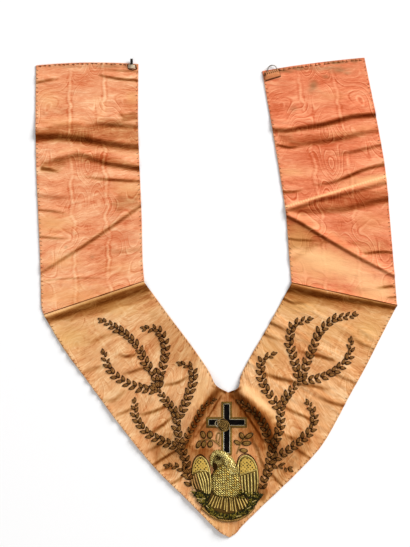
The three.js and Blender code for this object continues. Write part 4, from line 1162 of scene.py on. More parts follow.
# Leafy sprays, each line from its tip down
branchLeaf = leafMaterial("bronze")
branches = {
    "left_stem": [(158, 391), (168, 403), (175, 414), (177, 428), (180, 442), (186, 462), (188.6, 478),
                  (191, 486)],
    "left_branch_1": [(103, 321), (121, 331), (136, 345), (146, 362), (154, 376), (156.4, 388)],
    "left_branch_2": [(146, 328), (158, 330), (165, 344), (164, 360), (160, 376), (159, 388)],
    "left_branch_3": [(104, 354), (110, 370), (124, 382), (141, 388), (155.4, 390.6)],
    "left_branch_4": [(182, 364), (192, 368), (193, 382), (186, 402), (178.6, 418)],
    "left_branch_5": [(135, 403), (136, 418), (148, 434), (163, 441), (182, 450)],
    "left_branch_6": [(169, 466), (180, 468), (188.6, 475)],
    "left_branch_7": [(213, 401), (205, 405), (198, 417), (190, 431), (184, 444)],
    "right_stem": [(299, 382), (290, 392), (281, 408), (280, 428), (272, 450), (268, 472), (263, 483),
                   (262.6, 489)],
    "right_branch_1": [(353, 315.5), (334, 319), (320, 332), (311, 352), (301.6, 377)],
    "right_branch_2": [(308, 320), (294, 325), (290, 342), (295, 362), (299, 378)],
    "right_branch_3": [(351, 342), (350, 356), (336, 370), (319, 378), (302, 380.6)],
    "right_branch_4": [(272, 355), (262.6, 360), (262.6, 380), (270, 395), (279.6, 408)],
    "right_branch_5": [(309, 404), (314, 414), (311, 430), (296, 444), (275, 459)],
    "right_branch_6": [(288, 469), (280, 465), (271.6, 464.6)],
    "right_branch_7": [(241, 403), (253, 411), (264, 426), (271, 443)],
}
leafSizes = {
    "left_branch_7": {"Leaf Length": 0.006, "Leaf Width": 0.0028},
    "right_branch_7": {"Leaf Width": 0.0034},
}
for order, (name, places) in enumerate(branches.items()):
    inputs = {"Seed": 11 + order, "Material": branchLeaf, **leafSizes.get(name, {})}
    spray = grow(drawnLines(name + "_spray", [laid(places, 40, 0.35)]), sprayTree, inputs)
    layOnCloth(spray)
    handOver(spray, [name], name.split("_")[0] + "_front")
print("sprays sewn")

# Cross: black velvet inside a silver and a gold cord
cross = {"middle": (226.7, 422.5), "up": 18.2, "down": 30, "left": 17.8, "right": 17.8, "half": 2.7,
         "velvetLow": 0.05, "velvetHigh": 0.9}


def crossLine(spread, step=1.5):    # the cross's outline, spread mm outside the velvet
    half = cross["half"] + spread
    up, down, left, right = (cross[k] + spread for k in ("up", "down", "left", "right"))
    corners = [(-half, -up), (half, -up), (half, -half), (right, -half), (right, half), (half, half),
               (half, down), (-half, down), (-half, half), (-left, half), (-left, -half), (-half, -half)]
    line = []
    for (ax, ay), (bx, by) in zip(corners, corners[1:] + corners[:1]):
        count = max(2, round(math.hypot(bx - ax, by - ay) / step))
        line += [(ax + (bx - ax) * i / count, ay + (by - ay) * i / count) for i in range(count)]
    return np.array(line) + cross["middle"]


def velvetMaterial():
    material, tree, shader = newMaterial("blackVelvet")
    objectPlace, worn = placeAndDirt(tree, 220.0)
    nap = noiseAt(tree, objectPlace, 1800.0, 3.0, 0.7)
    base = mixColour(tree, remap(tree, nap, 0.35, 0.7), linear(3, 2, 3), linear(11, 9, 9))
    dress(tree, shader, tint(tree, base, worn, 0.12, linear(52, 38, 30)), nap, 0.6, 0.0004)
    setPlain(shader, {"Roughness": 0.95, "Specular IOR Level": 0.04})
    return material


def dome(foot, rise, power=2, bend=0.5):    # a relief foot mm high at its outline, which rises by rise mm
    return lambda x, y, share: foot + rise * np.maximum(0, 1 - share ** power) ** bend


# A low relief over the cloth inside an outline, with the share of the way to it kept as "edge"
def shellObject(name, outline, topOf, material, rings=12, centre=None):
    outline = np.asarray(outline, float)
    centre = outline.mean(axis=0) if centre is None else np.array(centre, float)
    count = len(outline)
    shares = np.sin(np.linspace(0, 1, rings + 1)[1:] * math.pi / 2)
    places = centre + (outline[None] - centre) * shares[:, None, None]
    x, y = places[..., 0], places[..., 1]
    share = np.repeat(shares[:, None], count, 1)
    top = topMm(x, y) + topOf(x, y, share)
    base = topMm(outline[:, 0], outline[:, 1]) + 0.02
    middleTop = topMm(*centre[:, None]) + topOf(*centre[:, None], np.zeros(1))
    flat = toFrame(places.reshape(-1, 2))
    middle = toFrame(centre[None])[0]
    vertices = [(*middle, middleTop[0] * mm), (*middle, (base.mean()) * mm)]
    vertices += [tuple(v) for v in np.column_stack([flat, top.ravel() * mm])]
    vertices += [tuple(v) for v in np.column_stack([toFrame(outline), base * mm])]
    ring = lambda r, i: 2 + r * count + i % count
    faces = []
    for i in range(count):
        faces.append((0, ring(0, i), ring(0, i + 1)))
        faces += [(ring(r, i), ring(r + 1, i), ring(r + 1, i + 1), ring(r, i + 1)) for r in range(rings)]
        faces.append((1, ring(rings, i + 1), ring(rings, i)))
    across, up = flat[-count:].T
    if np.sum(across * np.roll(up, -1) - up * np.roll(across, -1)) < 0:    # the outline runs clockwise
        faces = [face[::-1] for face in faces]
    made = meshObject(name, vertices, faces, material)
    setValues(made.data, "edge", np.concatenate([[0, 1], share.ravel(), np.ones(count)]))
    return made


# The velvet in rows of quads, so that it follows the cloth
def crossField():
    half = cross["half"]
    xs = np.concatenate([np.linspace(-cross["left"], -half, 12), np.linspace(-half, half, 6)[1:],
                         np.linspace(half, cross["right"], 12)[1:]])
    ys = np.concatenate([np.linspace(-cross["up"], -half, 12), np.linspace(-half, half, 6)[1:],
                         np.linspace(half, cross["down"], 16)[1:]])
    vertices, faces, index = [], [], {}

    def corner(i, j, low):
        if (i, j, low) not in index:
            x, y = xs[i] + cross["middle"][0], ys[j] + cross["middle"][1]
            index[(i, j, low)] = len(vertices)
            z = topMm(np.array([x]), np.array([y]))[0] + (cross["velvetLow"] if low else cross["velvetHigh"])
            vertices.append((*toFrame([(x, y)])[0], z * mm))
        return index[(i, j, low)]

    cells = {(i, j) for i in range(len(xs) - 1) for j in range(len(ys) - 1)
             if abs((xs[i] + xs[i + 1]) / 2) < half or abs((ys[j] + ys[j + 1]) / 2) < half}
    for i, j in cells:
        faces.append([corner(i, j, 0), corner(i, j + 1, 0), corner(i + 1, j + 1, 0), corner(i + 1, j, 0)])
        faces.append([corner(i, j, 1), corner(i + 1, j, 1), corner(i + 1, j + 1, 1), corner(i, j + 1, 1)])
        for (di, dj), ((ai, aj), (bi, bj)) in {
            (-1, 0): ((0, 0), (0, 1)), (1, 0): ((1, 1), (1, 0)), (0, -1): ((1, 0), (0, 0)),
            (0, 1): ((0, 1), (1, 1)),
        }.items():
            if (i + di, j + dj) not in cells:
                a, b = (i + ai, j + aj), (i + bi, j + bj)
                faces.append([corner(*b, 0), corner(*a, 0), corner(*a, 1), corner(*b, 1)])
    return meshObject("cross_velvet", vertices, faces, velvetMaterial())


paleGoldThread = threadMaterial("paleGold", 1.3)
oldGoldThread = threadMaterial("oldGold", 1.4)
silverThread = threadMaterial("silver", 1.2)
rosyThread = threadMaterial("rosy", 1.4)

handOver(crossField(), ["cross_field"], "left_front")
silver = cords("cross_silver", [(asLine(crossLine(0.3), 0.8), True)], silverThread, 0.75)
gold = cords("cross_gold", [(asLine(crossLine(1.35), 0.65), True), (asLine(crossLine(2.2), 0.35, 0.6), True)],
             oldGoldThread, 1.25)
handOver(joinPieces("cross_cords", [gold, silver]), ["cross_cord"], "left_front")

# Rose: coils of thread wound askew over the crossing, each with its reach and height
rose = {
    "middle": (223.2, 425), "lean": -32, "squeeze": (0.84, 1.08), "ground": (5.2, 7.0),
    "coils": [(6.3, 1.0), (4.6, 1.8), (3.0, 2.4), (1.3, 2.8)],
}


def roseLines():
    lines = []
    cosine, sine = math.cos(math.radians(rose["lean"])), math.sin(math.radians(rose["lean"]))
    for turn, (reach, rise) in enumerate(rose["coils"]):
        angle = np.linspace(0, 2 * math.pi, 36, endpoint=False)
        bend = reach * (1 + 0.07 * np.sin(3 * angle + 1.7 * turn))
        x, y = bend * np.cos(angle) * rose["squeeze"][0], bend * np.sin(angle) * rose["squeeze"][1]
        place = np.stack([x * cosine - y * sine, x * sine + y * cosine], -1)
        lines.append((asLine(place + rose["middle"], rise + 0.3 * np.sin(2 * angle + turn)), True))
    return lines


turns = np.linspace(0, 2 * math.pi, 10)[:-1]
roseOutline = ringPath(np.stack([np.cos(turns), np.sin(turns)], -1) * rose["ground"] + rose["middle"], 48)
roseBase = shellObject("rose_base", roseOutline, dome(0.4, 2.0), threadMaterial("roseGround", 0.9), rings=6)
roseCoils = cords("rose_coils", roseLines(), threadMaterial("rose", 1.4), 1.1)
petal = cords("rose_petal", [laid([(219.6, 420.4), (216, 421.4), (215.2, 424.6), (217.4, 427.2)], 14, 0.9),
                             laid([(220, 422.6), (217.4, 423.4), (218, 426)], 10, 1.2)], silverThread, 1.3)
roseWhole = joinPieces("rose_thread", [roseBase, roseCoils, petal])
handOver(roseWhole, ["rose"], "left_front")
print("cross sewn")

# Sprigs beside the cross
sprigs = {
    "left_sprig": {
        "stems": [[(199.6, 441), (205.4, 439.6), (212, 440), (217, 442.8), (220.4, 446.4)],
                  [(217.6, 444), (216.6, 438), (218, 433), (220.4, 433.4), (219.6, 439), (219, 444)]],
        "leaves": [((204.6, 438.8), 8.6, 5.6, 112), ((210, 439), 8.2, 6.2, 92), ((200.4, 440.4), 9, 5, 246),
                   ((204.8, 440.4), 8.2, 5.2, 256), ((210.4, 440.6), 7.4, 6, 266)],
    },
    "right_sprig": {
        "stems": [[(246, 437.6), (242, 441), (239.4, 447), (237, 453.6)]],
        "leaves": [((243.6, 439.4), 8, 5.2, 118), ((244.4, 438.6), 10.4, 5.4, 30),
                   ((241.4, 443.6), 10.4, 5.4, 2),
                   ((240.6, 444.6), 8, 4.4, 150), ((239.2, 449.8), 9, 4.6, -10)],
    },
}


def makeLeafTree():    # one padded leaf at each point, turned and sized by the point's own values
    tree, given, out = newTree("leaves", [("Leaf Height", "Float", 0.0012)])
    ball, ahead, aside, flat = leafBlank(tree, 14, 8)
    inputs = {0: ball, "Position": combine(tree, ahead, aside, flat)}
    inputs = {
        "Points": given.outputs[0], "Instance": addNode(tree, "GeometryNodeSetPosition", inputs).outputs[0],
        "Rotation": combine(tree, 0, 0, readValue(tree, "heading")),
        "Scale": combine(tree, readValue(tree, "long"), readValue(tree, "wide"),
                         given.outputs["Leaf Height"]),
    }
    finishTree(tree, addNode(tree, "GeometryNodeInstanceOnPoints", inputs).outputs[0], given, out)
    return tree


leafTree = makeLeafTree()


def leafPoints(name, leaves):
    mesh = bpy.data.meshes.new(name)
    feet, long, wide, heading = zip(*leaves)
    mesh.from_pydata([(x, y, 0.0003) for x, y in toFrame(feet)], [], [])
    setValues(mesh, "long", [value * mm for value in long])
    setValues(mesh, "wide", [value * mm for value in wide])
    setValues(mesh, "heading", [math.radians(value) for value in heading])
    return addObject(name, mesh)


sprigLeaf = leafMaterial("oldBronze")
for name, look in sprigs.items():
    leaves = grow(leafPoints(name + "_leaves", look["leaves"]), leafTree, {"Material": sprigLeaf})
    layOnCloth(leaves)
    stems = [laid(stem, 24, 0.5) for stem in look["stems"]]
    stem = cords(name + "_stem", stems, threadMaterial("oldBronze", 1.2), 1.2)
    handOver(joinPieces(name + "_threads", [leaves, stem]), [name],
             name.split("_")[0] + "_front")
print("sprigs sewn")


# Pelican in gold
def goldClothMaterial(name, turn, brick, gold):    # couched threads, held down in rows
    look = threads[gold]
    light, mid, dark = colours(look)
    material, tree, shader = newMaterial(name)
    objectPlace, dirt = placeAndDirt(tree, 120.0)
    inputs = {"Vector": objectPlace, "Rotation": (0, 0, math.radians(turn)), "Scale": (1 / mm, 1 / mm, 0)}
    place = addNode(tree, "ShaderNodeMapping", inputs).outputs["Vector"]
    wander = addNode(tree, "ShaderNodeTexNoise", {"Vector": objectPlace, "Scale": 180.0}).outputs["Color"]
    place = vectorCalc(tree, "ADD", place, vectorCalc(tree, "MULTIPLY", wander, (2.0, 2.0, 0)))
    inputs = {
        "Vector": place, "Scale": 1.0, "Brick Width": brick[0], "Row Height": brick[1],
        "Mortar Size": brick[2],
        "Mortar Smooth": 0.7, "Color1": (0.25, 0.25, 0.25, 1), "Color2": (1, 1, 1, 1), "Mortar": (0, 0, 0, 1),
    }
    weave = addNode(tree, "ShaderNodeTexBrick", inputs)
    stitch = addNode(tree, "ShaderNodeRGBToBW", {0: weave.outputs["Color"]}).outputs[0]
    low = weave.outputs["Fac"]
    base = mixColour(tree, remap(tree, stitch, 0.2, 0.9), mid, light)
    # painted highlights: scattered patches mixed towards a pale gold
    glintPatches = remap(tree, noiseAt(tree, objectPlace, 520.0, 2.0, 0.6), 0.5, 0.62)
    glintPatches = calc(tree, "MAXIMUM", glintPatches, remap(tree, noiseAt(tree, objectPlace, 95.0, 1.0), 0.52, 0.66))
    base = tint(tree, base, glintPatches, 0.5, linear(255, 236, 146))
    dull = remap(tree, noiseAt(tree, stretch(tree, objectPlace, (1, 1, 3)), 330.0, 2.0, 0.6), 0.5, 0.64)
    base = tint(tree, base, dull, 0.62, linear(112, 76, 16))
    base = mixColour(tree, low, base, dark)
    base = mixColour(tree, remap(tree, attribute(tree, "edge"), 0.86, 1.0, 0.0, 0.75), base, dark)
    dress(tree, shader, tint(tree, base, dirt, 0.3, dark), calc(tree, "SUBTRACT", stitch, low), 0.8, 0.0005)
    shineAsMetal(shader, look)
    return material


knotting = {"turn": 45, "apart": 2.5, "gold": (206, 168, 78), "knot": (34, 20, 2), "rough": 0.45}


def dottedMaterial():    # the wing's shoulder: pale satin with rows of dark knots
    look = threads["paleGold"]
    dark = linear(*look["dark"])
    material, tree, shader = newMaterial("knottedGold")
    objectPlace = addNode(tree, "ShaderNodeTexCoord").outputs["Object"]
    perMetre = 1 / mm / knotting["apart"]
    inputs = {"Vector": objectPlace, "Rotation": (0, 0, math.radians(knotting["turn"])),
              "Scale": (perMetre, perMetre, 0)}
    place = addNode(tree, "ShaderNodeMapping", inputs).outputs["Vector"]
    inputs = {"Vector": place, "Scale": 1.0, "Randomness": 0.3}
    knot = remap(tree, addNode(tree, "ShaderNodeTexVoronoi", inputs).outputs["Distance"], 0.24, 0.4, 1.0, 0.0)
    base = mixColour(tree, knot, linear(*knotting["gold"]), linear(*knotting["knot"]))
    base = mixColour(tree, remap(tree, attribute(tree, "edge"), 0.84, 0.97, 0.0, 0.8), base, dark)
    dress(tree, shader, mixColour(tree, attribute(tree, "shade"), base, dark), knot, 0.5, 0.0004)
    shineAsMetal(shader, {**look, "rough": knotting["rough"]})
    return material


wings = {
    "left_wing": {
        "outline": [(209.4, 470), (206.6, 461.6), (200.6, 456.2), (195.4, 459.6), (193, 467), (191.8, 478),
                    (194.6, 488), (200, 494), (206, 495.6), (210.6, 492), (211, 480)],
        "loop": [(192.6, 474), (193.6, 465), (196.4, 458.8), (200.8, 456.6), (206, 461), (209, 469),
                 (210.6, 480), (210.8, 488), (209.2, 494.6)],
        "feathers": [[(204.8, 471.6), (208, 480), (208.4, 494.6)],
                     [(202.2, 472.2), (205.2, 481), (206.6, 494)],
                     [(199.8, 472.6), (202.6, 481), (204.6, 492.6)],
                     [(197.4, 473), (199.8, 481), (202.6, 490.6)]],
        "outer": [[(195.2, 474), (197, 481), (200, 489.6)], [(193.4, 475.8), (194.4, 482), (197, 488.6)],
                  [(191.8, 479), (192.4, 484), (194.2, 489)]],
        "band": [(194.4, 472.4), (199, 470.4), (205.6, 470.6), (209, 472)],
    },
    "right_wing": {
        "outline": [(239, 470), (240.4, 459.6), (245.6, 455.6), (252.6, 459.6), (256.6, 468), (258, 478),
                    (257.4, 488), (255, 496), (249, 497), (242.4, 492), (239.8, 481)],
        "loop": [(238.4, 474), (238.2, 464), (240.8, 458), (246, 455.8), (252, 459), (256, 466), (257.6, 476),
                 (257.4, 487), (255.4, 497)],
        "feathers": [[(241.6, 475.8), (242, 484), (243, 492.4)], [(244.6, 475), (245.2, 485), (246.2, 494.6)],
                     [(247.8, 474.2), (248.4, 485), (249, 496.4)], [(251, 473.2), (251.6, 485), (251.8, 497)],
                     [(254.2, 472), (254.8, 485), (254.4, 497)]],
        "outer": [[(239.4, 477), (239.8, 484), (241.2, 489)]],
        "band": [(239.6, 475.2), (246, 472.6), (251, 471), (256.6, 469.6)],
    },
}
knotted = dottedMaterial()
blackSewing = threadMaterial("blackSewing", 1.0)
for name, look in wings.items():
    base = shellObject(name + "_base", ringPath(look["outline"], 64), dome(0.5, 1.7, 2.4), knotted, rings=10)
    band = np.array(look["band"])
    places = np.array([v.co[:] for v in base.data.vertices])
    baseX, baseY = toLayout(places[:, 0], places[:, 1])
    below = np.clip((baseY - np.interp(baseX, band[:, 0], band[:, 1])) / 1.5, 0, 1)
    setValues(base.data, "shade", below)
    feathers = [laid(line, 16, 1.7, np.linspace(1, 0.75, 16)) for line in look["feathers"]]
    outer = [laid(line, 12, 1.6, np.linspace(1, 0.6, 12)) for line in look["outer"]]
    loop = smoothPath(look["loop"], 40)
    long = cords(name + "_feathers", feathers, paleGoldThread, 2.0)
    middle = np.mean(look["outline"], axis=0)
    rimLines = [(asLine(loop, 1.1), False), laid(look["band"], 12, 2.1, 0.6)]
    rims = cords(name + "_loop", rimLines, paleGoldThread, 1.7)
    dark = cords(name + "_lines", [(asLine(middle + (loop - middle) * 1.1, 0.4), False)], blackSewing, 0.8)
    rosy = cords(name + "_outer", outer, rosyThread, 1.9)
    wing = joinPieces(name + "_gold", [base, long, rims, dark, rosy])
    handOver(wing, [name], name.split("_")[0] + "_front")
print("wings sewn")

bodyOutline = ringPath(
    [(224, 463), (217.4, 467), (212.8, 473), (211, 481), (211.4, 489), (214.4, 495), (221, 497.6), (229, 498),
     (236, 497), (240.4, 493), (241.2, 485), (240, 476), (237.4, 468), (232.6, 463)], 72)
breastGold = goldClothMaterial("breastGold", 40, (3.2, 1.7, 0.56), "breastGold")
body = shellObject("bird_breast", bodyOutline, dome(0.8, 4.8, 2.2, 0.62), breastGold, rings=16,
                   centre=(226, 481))
bodyEdge = cords("breast_edge", [(asLine(bodyOutline, 0.2), True)], blackSewing, 0.9)
breast = joinPieces("bird_breast_gold", [body, bodyEdge])
handOver(breast, ["bird_body"], "right_front")

neck = {
    "path": [(233, 477), (231, 468), (227.4, 459.6), (221.6, 454), (215.4, 453.4), (212.2, 458),
             (211.6, 463.6), (213.4, 468.4)],
    "eye": (218.4, 458.6), "eyeSize": (1.7, 1.2),
    "widths": (9, 12.6, 12, 9.4, 7.4, 5.6, 4, 1.8), "heights": (5.4, 5.9, 5.6, 5.0, 4.4, 3.8, 3, 1.6),
}


# A half-round roll over the cloth, along a path
def rollObject(name, look, material, count=60, sides=14):
    line = smoothPath(look["path"], count)
    way = np.gradient(line, axis=0)
    way /= np.linalg.norm(way, axis=1)[:, None]
    normal = np.stack([-way[:, 1], way[:, 0]], -1)
    share = np.linspace(0, 1, len(look["widths"]))
    along = np.linspace(0, 1, count)
    width, height = np.interp(along, share, look["widths"]), np.interp(along, share, look["heights"])
    cap = np.sqrt(np.clip(1 - (1 - np.minimum(along, 1 - along) * 14), 0, 1))
    angle = np.linspace(0, 2 * math.pi, sides, endpoint=False)
    rows = []
    for i in range(count):
        offset = 0.5 * width[i] * max(cap[i], 0.15) * np.cos(angle)
        place = line[i] + normal[i] * offset[:, None]
        rise = np.maximum(0.02, height[i] * max(cap[i], 0.15) * np.sin(angle))
        rows.append(np.column_stack([toFrame(place), (topMm(place[:, 0], place[:, 1]) + rise) * mm]))
    vertices = np.vstack(rows)
    faces = []
    for i in range(count - 1):
        for j in range(sides):
            k = (j + 1) % sides
            faces.append((i * sides + j, i * sides + k, (i + 1) * sides + k, (i + 1) * sides + j))
    faces.append(tuple(range(sides))[::-1])
    faces.append(tuple((count - 1) * sides + j for j in range(sides)))
    return meshObject(name, vertices, faces, material)


neckRoll = rollObject("bird_neck_roll", neck, goldClothMaterial("neckGold", 62, (3, 1.5, 0.34), "paleGold"))
eyeAngles = np.linspace(0, 2 * math.pi, 12)[:-1]
eyeLine = np.stack([np.cos(eyeAngles), np.sin(eyeAngles)], -1) * neck["eyeSize"] + neck["eye"]
eyeRing = cords("bird_eye", [(asLine(eyeLine, 3.0), True)], blackSewing, 1.0)
faceOutline = ringPath(
    [(214, 459.6), (216.4, 456.2), (221, 456), (224, 459.4), (223.6, 464.6), (219.6, 468.4), (215.6, 468)],
    32)
faceGold = goldClothMaterial("faceGold", 10, (2.2, 1.3, 0.32), "oldGold")
face = shellObject("bird_face", faceOutline, dome(0.8, 2.0), faceGold, rings=6)
# A dark dome in black thread colour fills the hollow between beak and breast: painted shade
hollowOutline = ringPath([(213.4, 463), (216.6, 463.6), (217.4, 467), (215.4, 470), (213.2, 468.6)], 20)
hollowShade = shellObject("bird_hollow_shade", hollowOutline, dome(2.6, 0.5), threadMaterial("blackSewing", 1.2),
                     rings=4)
neckWhole = joinPieces("bird_neck_gold", [neckRoll, face, eyeRing, hollowShade])
handOver(neckWhole, ["bird_neck"], "right_front")
print("breast and neck sewn")

# Tail rays over the nest
tail = {"rays": 14, "middle": 228.4, "halfWidth": 14.6, "top": 498, "long": 14, "spread": 28, "seed": 33}


def rayLines():
    draw = np.random.default_rng(tail["seed"])
    lines = []
    for share, (a, b, c) in zip(np.linspace(-1, 1, tail["rays"]), draw.uniform(-1, 1, (tail["rays"], 3))):
        foot = np.array([tail["middle"] + tail["halfWidth"] * share,
                         tail["top"] - 2.6 * share ** 2 + 0.6 * a])
        turn = math.radians(tail["spread"] * share + 4 * b)
        long = tail["long"] * (1 - 0.2 * share ** 2 + 0.16 * c)
        tip = foot + long * np.array([math.sin(turn), math.cos(turn)])
        places = [foot, (foot + tip) / 2 + (0.3 * b, 0), tip]
        lines.append(laid(places, 10, 1.9 - 0.8 * np.linspace(0, 1, 10), np.linspace(0.8, 1.1, 10)))
    return lines


tailGold = cords("tail_rays", rayLines(), threadMaterial("tailGold", 1.3), 1.6)
tailOutline = ringPath(
    [(211.6, 492.6), (219, 494.6), (228, 495.4), (237, 494), (243.6, 490.6), (247.6, 501), (247, 508.6),
     (239, 512.4), (228, 514.4), (216.6, 512.4), (207.6, 507.4)], 64)
tailBase = shellObject("tail_base", tailOutline, dome(0.4, 0.9), threadMaterial("tailGround", 1.2))
knotPlaces = [(215, 495.4), (219.2, 497.6), (223.8, 498.8), (228.6, 499.4), (233.4, 498.6), (237.6, 497),
              (241, 494.4)]
knotLines = [(asLine([(x, y), (x + 0.7, y + 0.4)], 3.0), False) for x, y in knotPlaces]
knots = cords("tail_knots", knotLines, blackSewing, 1.7)
tailWhole = joinPieces("tail_gold", [tailBase, tailGold, knots])
handOver(tailWhole, ["tail_fan"], "right_front")

# Nest of green chenille
nest = {
    "middle": (228, 488),
    "darkTufts": (330, 41, 1.5, 2.3), "paleTufts": (130, 43, 1.2, 2.7),    # how many, seed, thickness, height
    "outer": [(191.6, 491.4), (195, 496.6), (199.4, 502), (206, 509), (213, 514.4), (220.4, 518),
              (228.4, 519.2), (237, 518), (245.6, 513.6), (251, 509), (258, 502), (264, 494.6)],
    "inner": [(199.4, 492), (205.4, 496.6), (208.4, 503), (213, 509.6), (220, 513), (228, 514),
              (236.6, 512.6), (244, 509), (248.6, 503), (249.4, 497), (256, 493.4)],
}


def nestPlaces(count, seed):
    draw = np.random.default_rng(seed)
    outer, inner = smoothPath(nest["outer"], 200), smoothPath(nest["inner"], 200)
    pick = draw.integers(0, 200, count)
    share = draw.uniform(0.12, 1.1, count)[:, None]
    return outer[pick] * (1 - share) + inner[pick] * share, draw


def nestTufts(name, tufts, thread):
    count, seed, thickness, height = tufts
    places, draw = nestPlaces(count, seed)
    spare = count // 5
    corner = draw.integers(0, 2, spare)
    lobe = draw.uniform(-1, 1, (spare, 2)) * np.where(corner, 8, 7)[:, None] * (1, 0.45)
    lobe += np.where(corner[:, None], (246, 494.6), (203.4, 496))
    places = np.vstack([places, lobe])
    count += spare
    lines = []
    turns, curls = draw.uniform(-0.9, 0.9, count), draw.uniform(-1, 1, count)
    steps = np.linspace(0, 1, 6)
    rise = height * (0.35 + 0.65 * np.sin(math.pi * (0.15 + 0.75 * steps)))
    for (x, y), turn, curl, reach in zip(places, turns, curls, draw.uniform(1.4, 3.2, count)):
        outward = math.atan2(y - nest["middle"][1], x - nest["middle"][0]) + turn
        bend = outward + curl * steps
        line = np.stack([x + reach * steps * np.cos(bend), y + reach * steps * np.sin(bend)], -1)
        lines.append((asLine(line, rise, 1 - 0.5 * steps ** 2), False))
    return cords(name, lines, thread, thickness, sides=5)


def chenilleMaterial(name, light, dark):
    material, tree, shader = newMaterial(name)
    objectPlace = addNode(tree, "ShaderNodeTexCoord").outputs["Object"]
    fuzz = noiseAt(tree, objectPlace, 900.0, 3.0, 0.7)
    base = mixColour(tree, remap(tree, fuzz, 0.35, 0.68), linear(*dark), linear(*light))
    dress(tree, shader, base, fuzz, 0.7, 0.0005)
    setPlain(shader, {"Roughness": 0.85, "Specular IOR Level": 0.15})
    return material


ring = np.linspace(0, 1, 26)
left, right = smoothPath(nest["outer"], 26), smoothPath(nest["inner"], 26)
rows = np.linspace(0, 1, 9)
grid = left[:, None, :] * (1 - rows[None, :, None]) + right[:, None, :] * rows[None, :, None]
x, y = grid[..., 0], grid[..., 1]
swell = np.sin(math.pi * rows)[None, :] ** 0.5 * (0.4 + 0.6 * np.sin(math.pi * ring)[:, None] ** 0.4)
top = topMm(x, y) + 0.1 + 1.7 * swell
low = topMm(x, y) + 0.02
nestPad = layered("nest_pad", x, y, top, low, chenilleMaterial("nestPad", (54, 52, 12), (22, 20, 4)))
darkChenille = chenilleMaterial("darkChenille", (54, 50, 12), (20, 17, 3))
paleChenille = chenilleMaterial("paleChenille", (136, 118, 36), (76, 64, 14))
darkTufts = nestTufts("nest_dark", nest["darkTufts"], darkChenille)
paleTufts = nestTufts("nest_pale", nest["paleTufts"], paleChenille)
rimPlaces = [(202, 507.6), (210, 514.6), (218.8, 519.2), (228.4, 520.8), (238.2, 519.4), (247.4, 514.4),
             (254.2, 507.4)]
rimCord = cords("nest_rim", [laid(rimPlaces, 40, 1.0)], threadMaterial("oldBronze", 1.6), 2.6)
strawLines = [[(196.6, 498), (201, 499), (205.4, 498.2)], [(198.4, 501), (202, 500.6)],
              [(252, 502), (256.4, 500)],
              [(247, 508.4), (251, 506.4)], [(206, 505.4), (208.6, 508)], [(236, 516.4), (241, 515.4)],
              [(218, 516.6), (222.6, 517.2)]]
straw = cords("nest_straw", [laid(line, 8, 2.6) for line in strawLines], threadMaterial("straw", 1.2), 0.9)
nestWhole = joinPieces("nest_chenille", [nestPad, darkTufts, paleTufts, rimCord, straw])
handOver(nestWhole, ["nest"], "right_front")
print("nest sewn")

# Hook, eye and the folded silk tab that holds the eye
hook = {"x": 131.6, "apart": 0.62, "wire": 1.25, "foot": 68.2, "bendAt": 60.95, "bend": 1.75, "low": 0.95,
        "back": 4}
hookTab = {"rows": (65.1, 66.0, 66.9, 67.8), "from": 128.4, "to": 134.9, "rise": 1.7}
eye = {"middle": (272.4, 69.8), "radius": 4.6, "wire": 1.1, "height": 0.9}
eyeTab = {
    "corners": [(263.9, 72.4), (279.2, 68.4), (280.9, 76.6), (265.2, 81.4)],
    "thick": 0.8, "lie": 1.0, "crown": 1.35,
    "spot": (264.8, 75.6), "spotReach": 1.4, "stitches": 8, "flat": (0.0158, 0.0115),
}


def metalMaterial(name, clean, worn, rough):
    material, tree, shader = newMaterial(name)
    objectPlace, dirt = placeAndDirt(tree, 420.0)
    base = mixColour(tree, dirt, linear(*clean), linear(*worn))
    dress(tree, shader, base, noiseAt(tree, objectPlace, 2600.0, 2.0), 0.4, 0.0001)
    tree.links.new(remap(tree, dirt, 0.0, 1.0, rough, rough + 0.3), shader.inputs["Roughness"])
    shader.inputs["Metallic"].default_value = 0.85
    return material


def hookLine(side):
    turn = np.linspace(0, math.pi, 9)
    y = hook["bendAt"] - hook["bend"] * np.sin(turn)
    z = hook["low"] + hook["bend"] * (1 - np.cos(turn))
    y = np.concatenate([[hook["foot"], (hook["foot"] + hook["bendAt"]) / 2], y,
                        [hook["bendAt"] + hook["back"]]])
    z = np.concatenate([[hook["low"], hook["low"]], z, [z[-1]]])
    return asLine(np.stack([np.full(len(y), hook["x"] + side * hook["apart"]), y], -1), z), False


blackWire = metalMaterial("blackWire", (26, 24, 24), (58, 48, 40), 0.4)
hookPiece = cords("hook_wire", [hookLine(-1), hookLine(1)], blackWire, hook["wire"], 8)
handOver(hookPiece, ["hook"], "left_strap")
arch = np.linspace(0, 1, 9)
across = hookTab["from"] + (hookTab["to"] - hookTab["from"]) * arch
rise = 0.3 + hookTab["rise"] * np.sin(math.pi * arch)
creamArcs = [(asLine(np.stack([across, y + 0.5 * (arch - 0.5)], -1), rise), False) for y in hookTab["rows"]]
tabArcs = cords("hook_tab_arcs", creamArcs, threadMaterial("cream", 0.9), 0.95)
darkLines = [[(127.4, 64.6), (128, 66.6), (128.6, 68.8)], [(135.6, 64.8), (136.2, 67), (136.6, 69.4)],
             [(128.8, 69.2), (133, 70), (136.4, 69)]]
tabSewing = cords("hook_tab_sewing", [(asLine(line, 0.25), False) for line in darkLines], blackSewing, 0.8)
handOver(joinPieces("hook_tab_threads", [tabArcs, tabSewing]), ["hook_tab"], "left_strap")

turns = np.linspace(0, 2 * math.pi, 33)[:-1]
ringPlaces = np.stack([np.cos(turns), np.sin(turns)], -1) * eye["radius"] + eye["middle"]
steelWire = metalMaterial("steelWire", (176, 174, 168), (104, 88, 70), 0.3)
eyePiece = cords("eye_ring", [(asLine(ringPlaces, eye["height"]), True)], steelWire, eye["wire"], 10)
handOver(eyePiece, ["eye"], "right_strap")


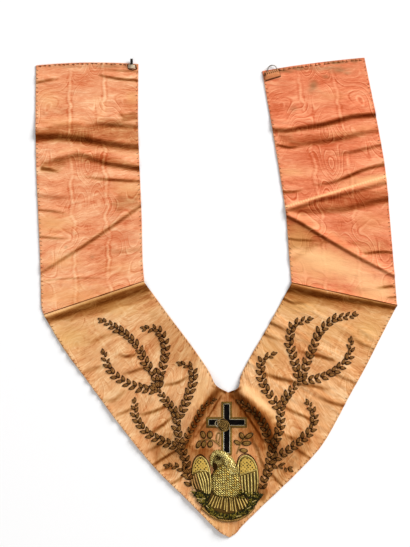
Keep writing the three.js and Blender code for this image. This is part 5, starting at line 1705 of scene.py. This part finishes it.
def tabObject():
    rows, columns = np.linspace(0, 1, 15)[:, None], np.linspace(0, 1, 19)[None]
    a, b, c, d = (np.array(corner, float)[:, None, None] for corner in eyeTab["corners"])
    x, y = (a * (1 - columns) + b * columns) * (1 - rows) + (d * (1 - columns) + c * columns) * rows
    rise = eyeTab["crown"] * np.exp(-(np.abs(rows - 0.12) / 0.55) ** 3)
    rise = eyeTab["lie"] + rise * np.exp(-(np.abs(columns - 0.5) / 0.52) ** 6)
    side = np.minimum(np.minimum(rows, 1 - rows) * 9, np.minimum(columns, 1 - columns) * 16)
    swell = 0.5 + 0.5 * np.sqrt(1 - np.clip(1 - side / 0.7, 0, 1) ** 2)
    rise = rise + 0.1 * latticeNoise(x / 2 + 9, y / 2 + 9, 5)
    middle = topMm(x, y) + rise - eyeTab["thick"] / 2
    half = eyeTab["thick"] * (swell - 0.5)
    piece = layered("eye_tab_silk", x, y, middle + half, middle - half + 0.02, silkMaterial("rightStrapSilk"))
    full = np.ones(x.shape)
    spotX, spotY = eyeTab["spot"]
    spot = np.exp(-((x - spotX) ** 2 + (y - spotY) ** 2) / eyeTab["spotReach"] ** 2)
    edge = np.maximum(np.clip((rows - 0.8) / 0.12, 0, 1), np.clip(1 - side / 0.7, 0, 1) * 0.6) * full
    # The tab's marks: painted shade growing towards its lower edge and a painted highlight towards its upper
    # edge, with a darker lower strip and a dark spot
    values = {
        "dark": 0 * full, "edge": np.maximum(edge, spot), "deep": 0.15 * full, "stain": 0.12 * full,
        "yellow": 0.4 * full,
        "shade": 0.1 * rows * full, "pale": 0.3 * (1 - rows) * full,
    }
    dressSilk(piece.data, (x - 220) * mm, (y - 60) * mm, values)
    return piece


tabSilk = tabObject()
tabLines = []
for share in np.linspace(0.06, 0.94, eyeTab["stitches"]):
    top, lower = (np.array(eyeTab["corners"][i]) * (1 - share) + np.array(eyeTab["corners"][j]) * share
                  for i, j in ((0, 1), (3, 2)))
    start, end = top + (lower - top) * 0.05, top + (lower - top) * 0.3
    tabLines.append((asLine([start, (start + end) / 2 + (0.3, 0), end + (0.5, 0)], [2.1, 2.4, 2.3]), False))
tabStitches = cords("eye_tab_stitches", tabLines, blackSewing, 0.75, 5)
tabWhole = joinPieces("eye_tab_silk", [tabSilk, tabStitches])
handOver(tabWhole, ["eye_tab"], "right_strap")
print("fastenings sewn")

for name, piece in ribbonPieces.items():
    handOver(piece, [name])
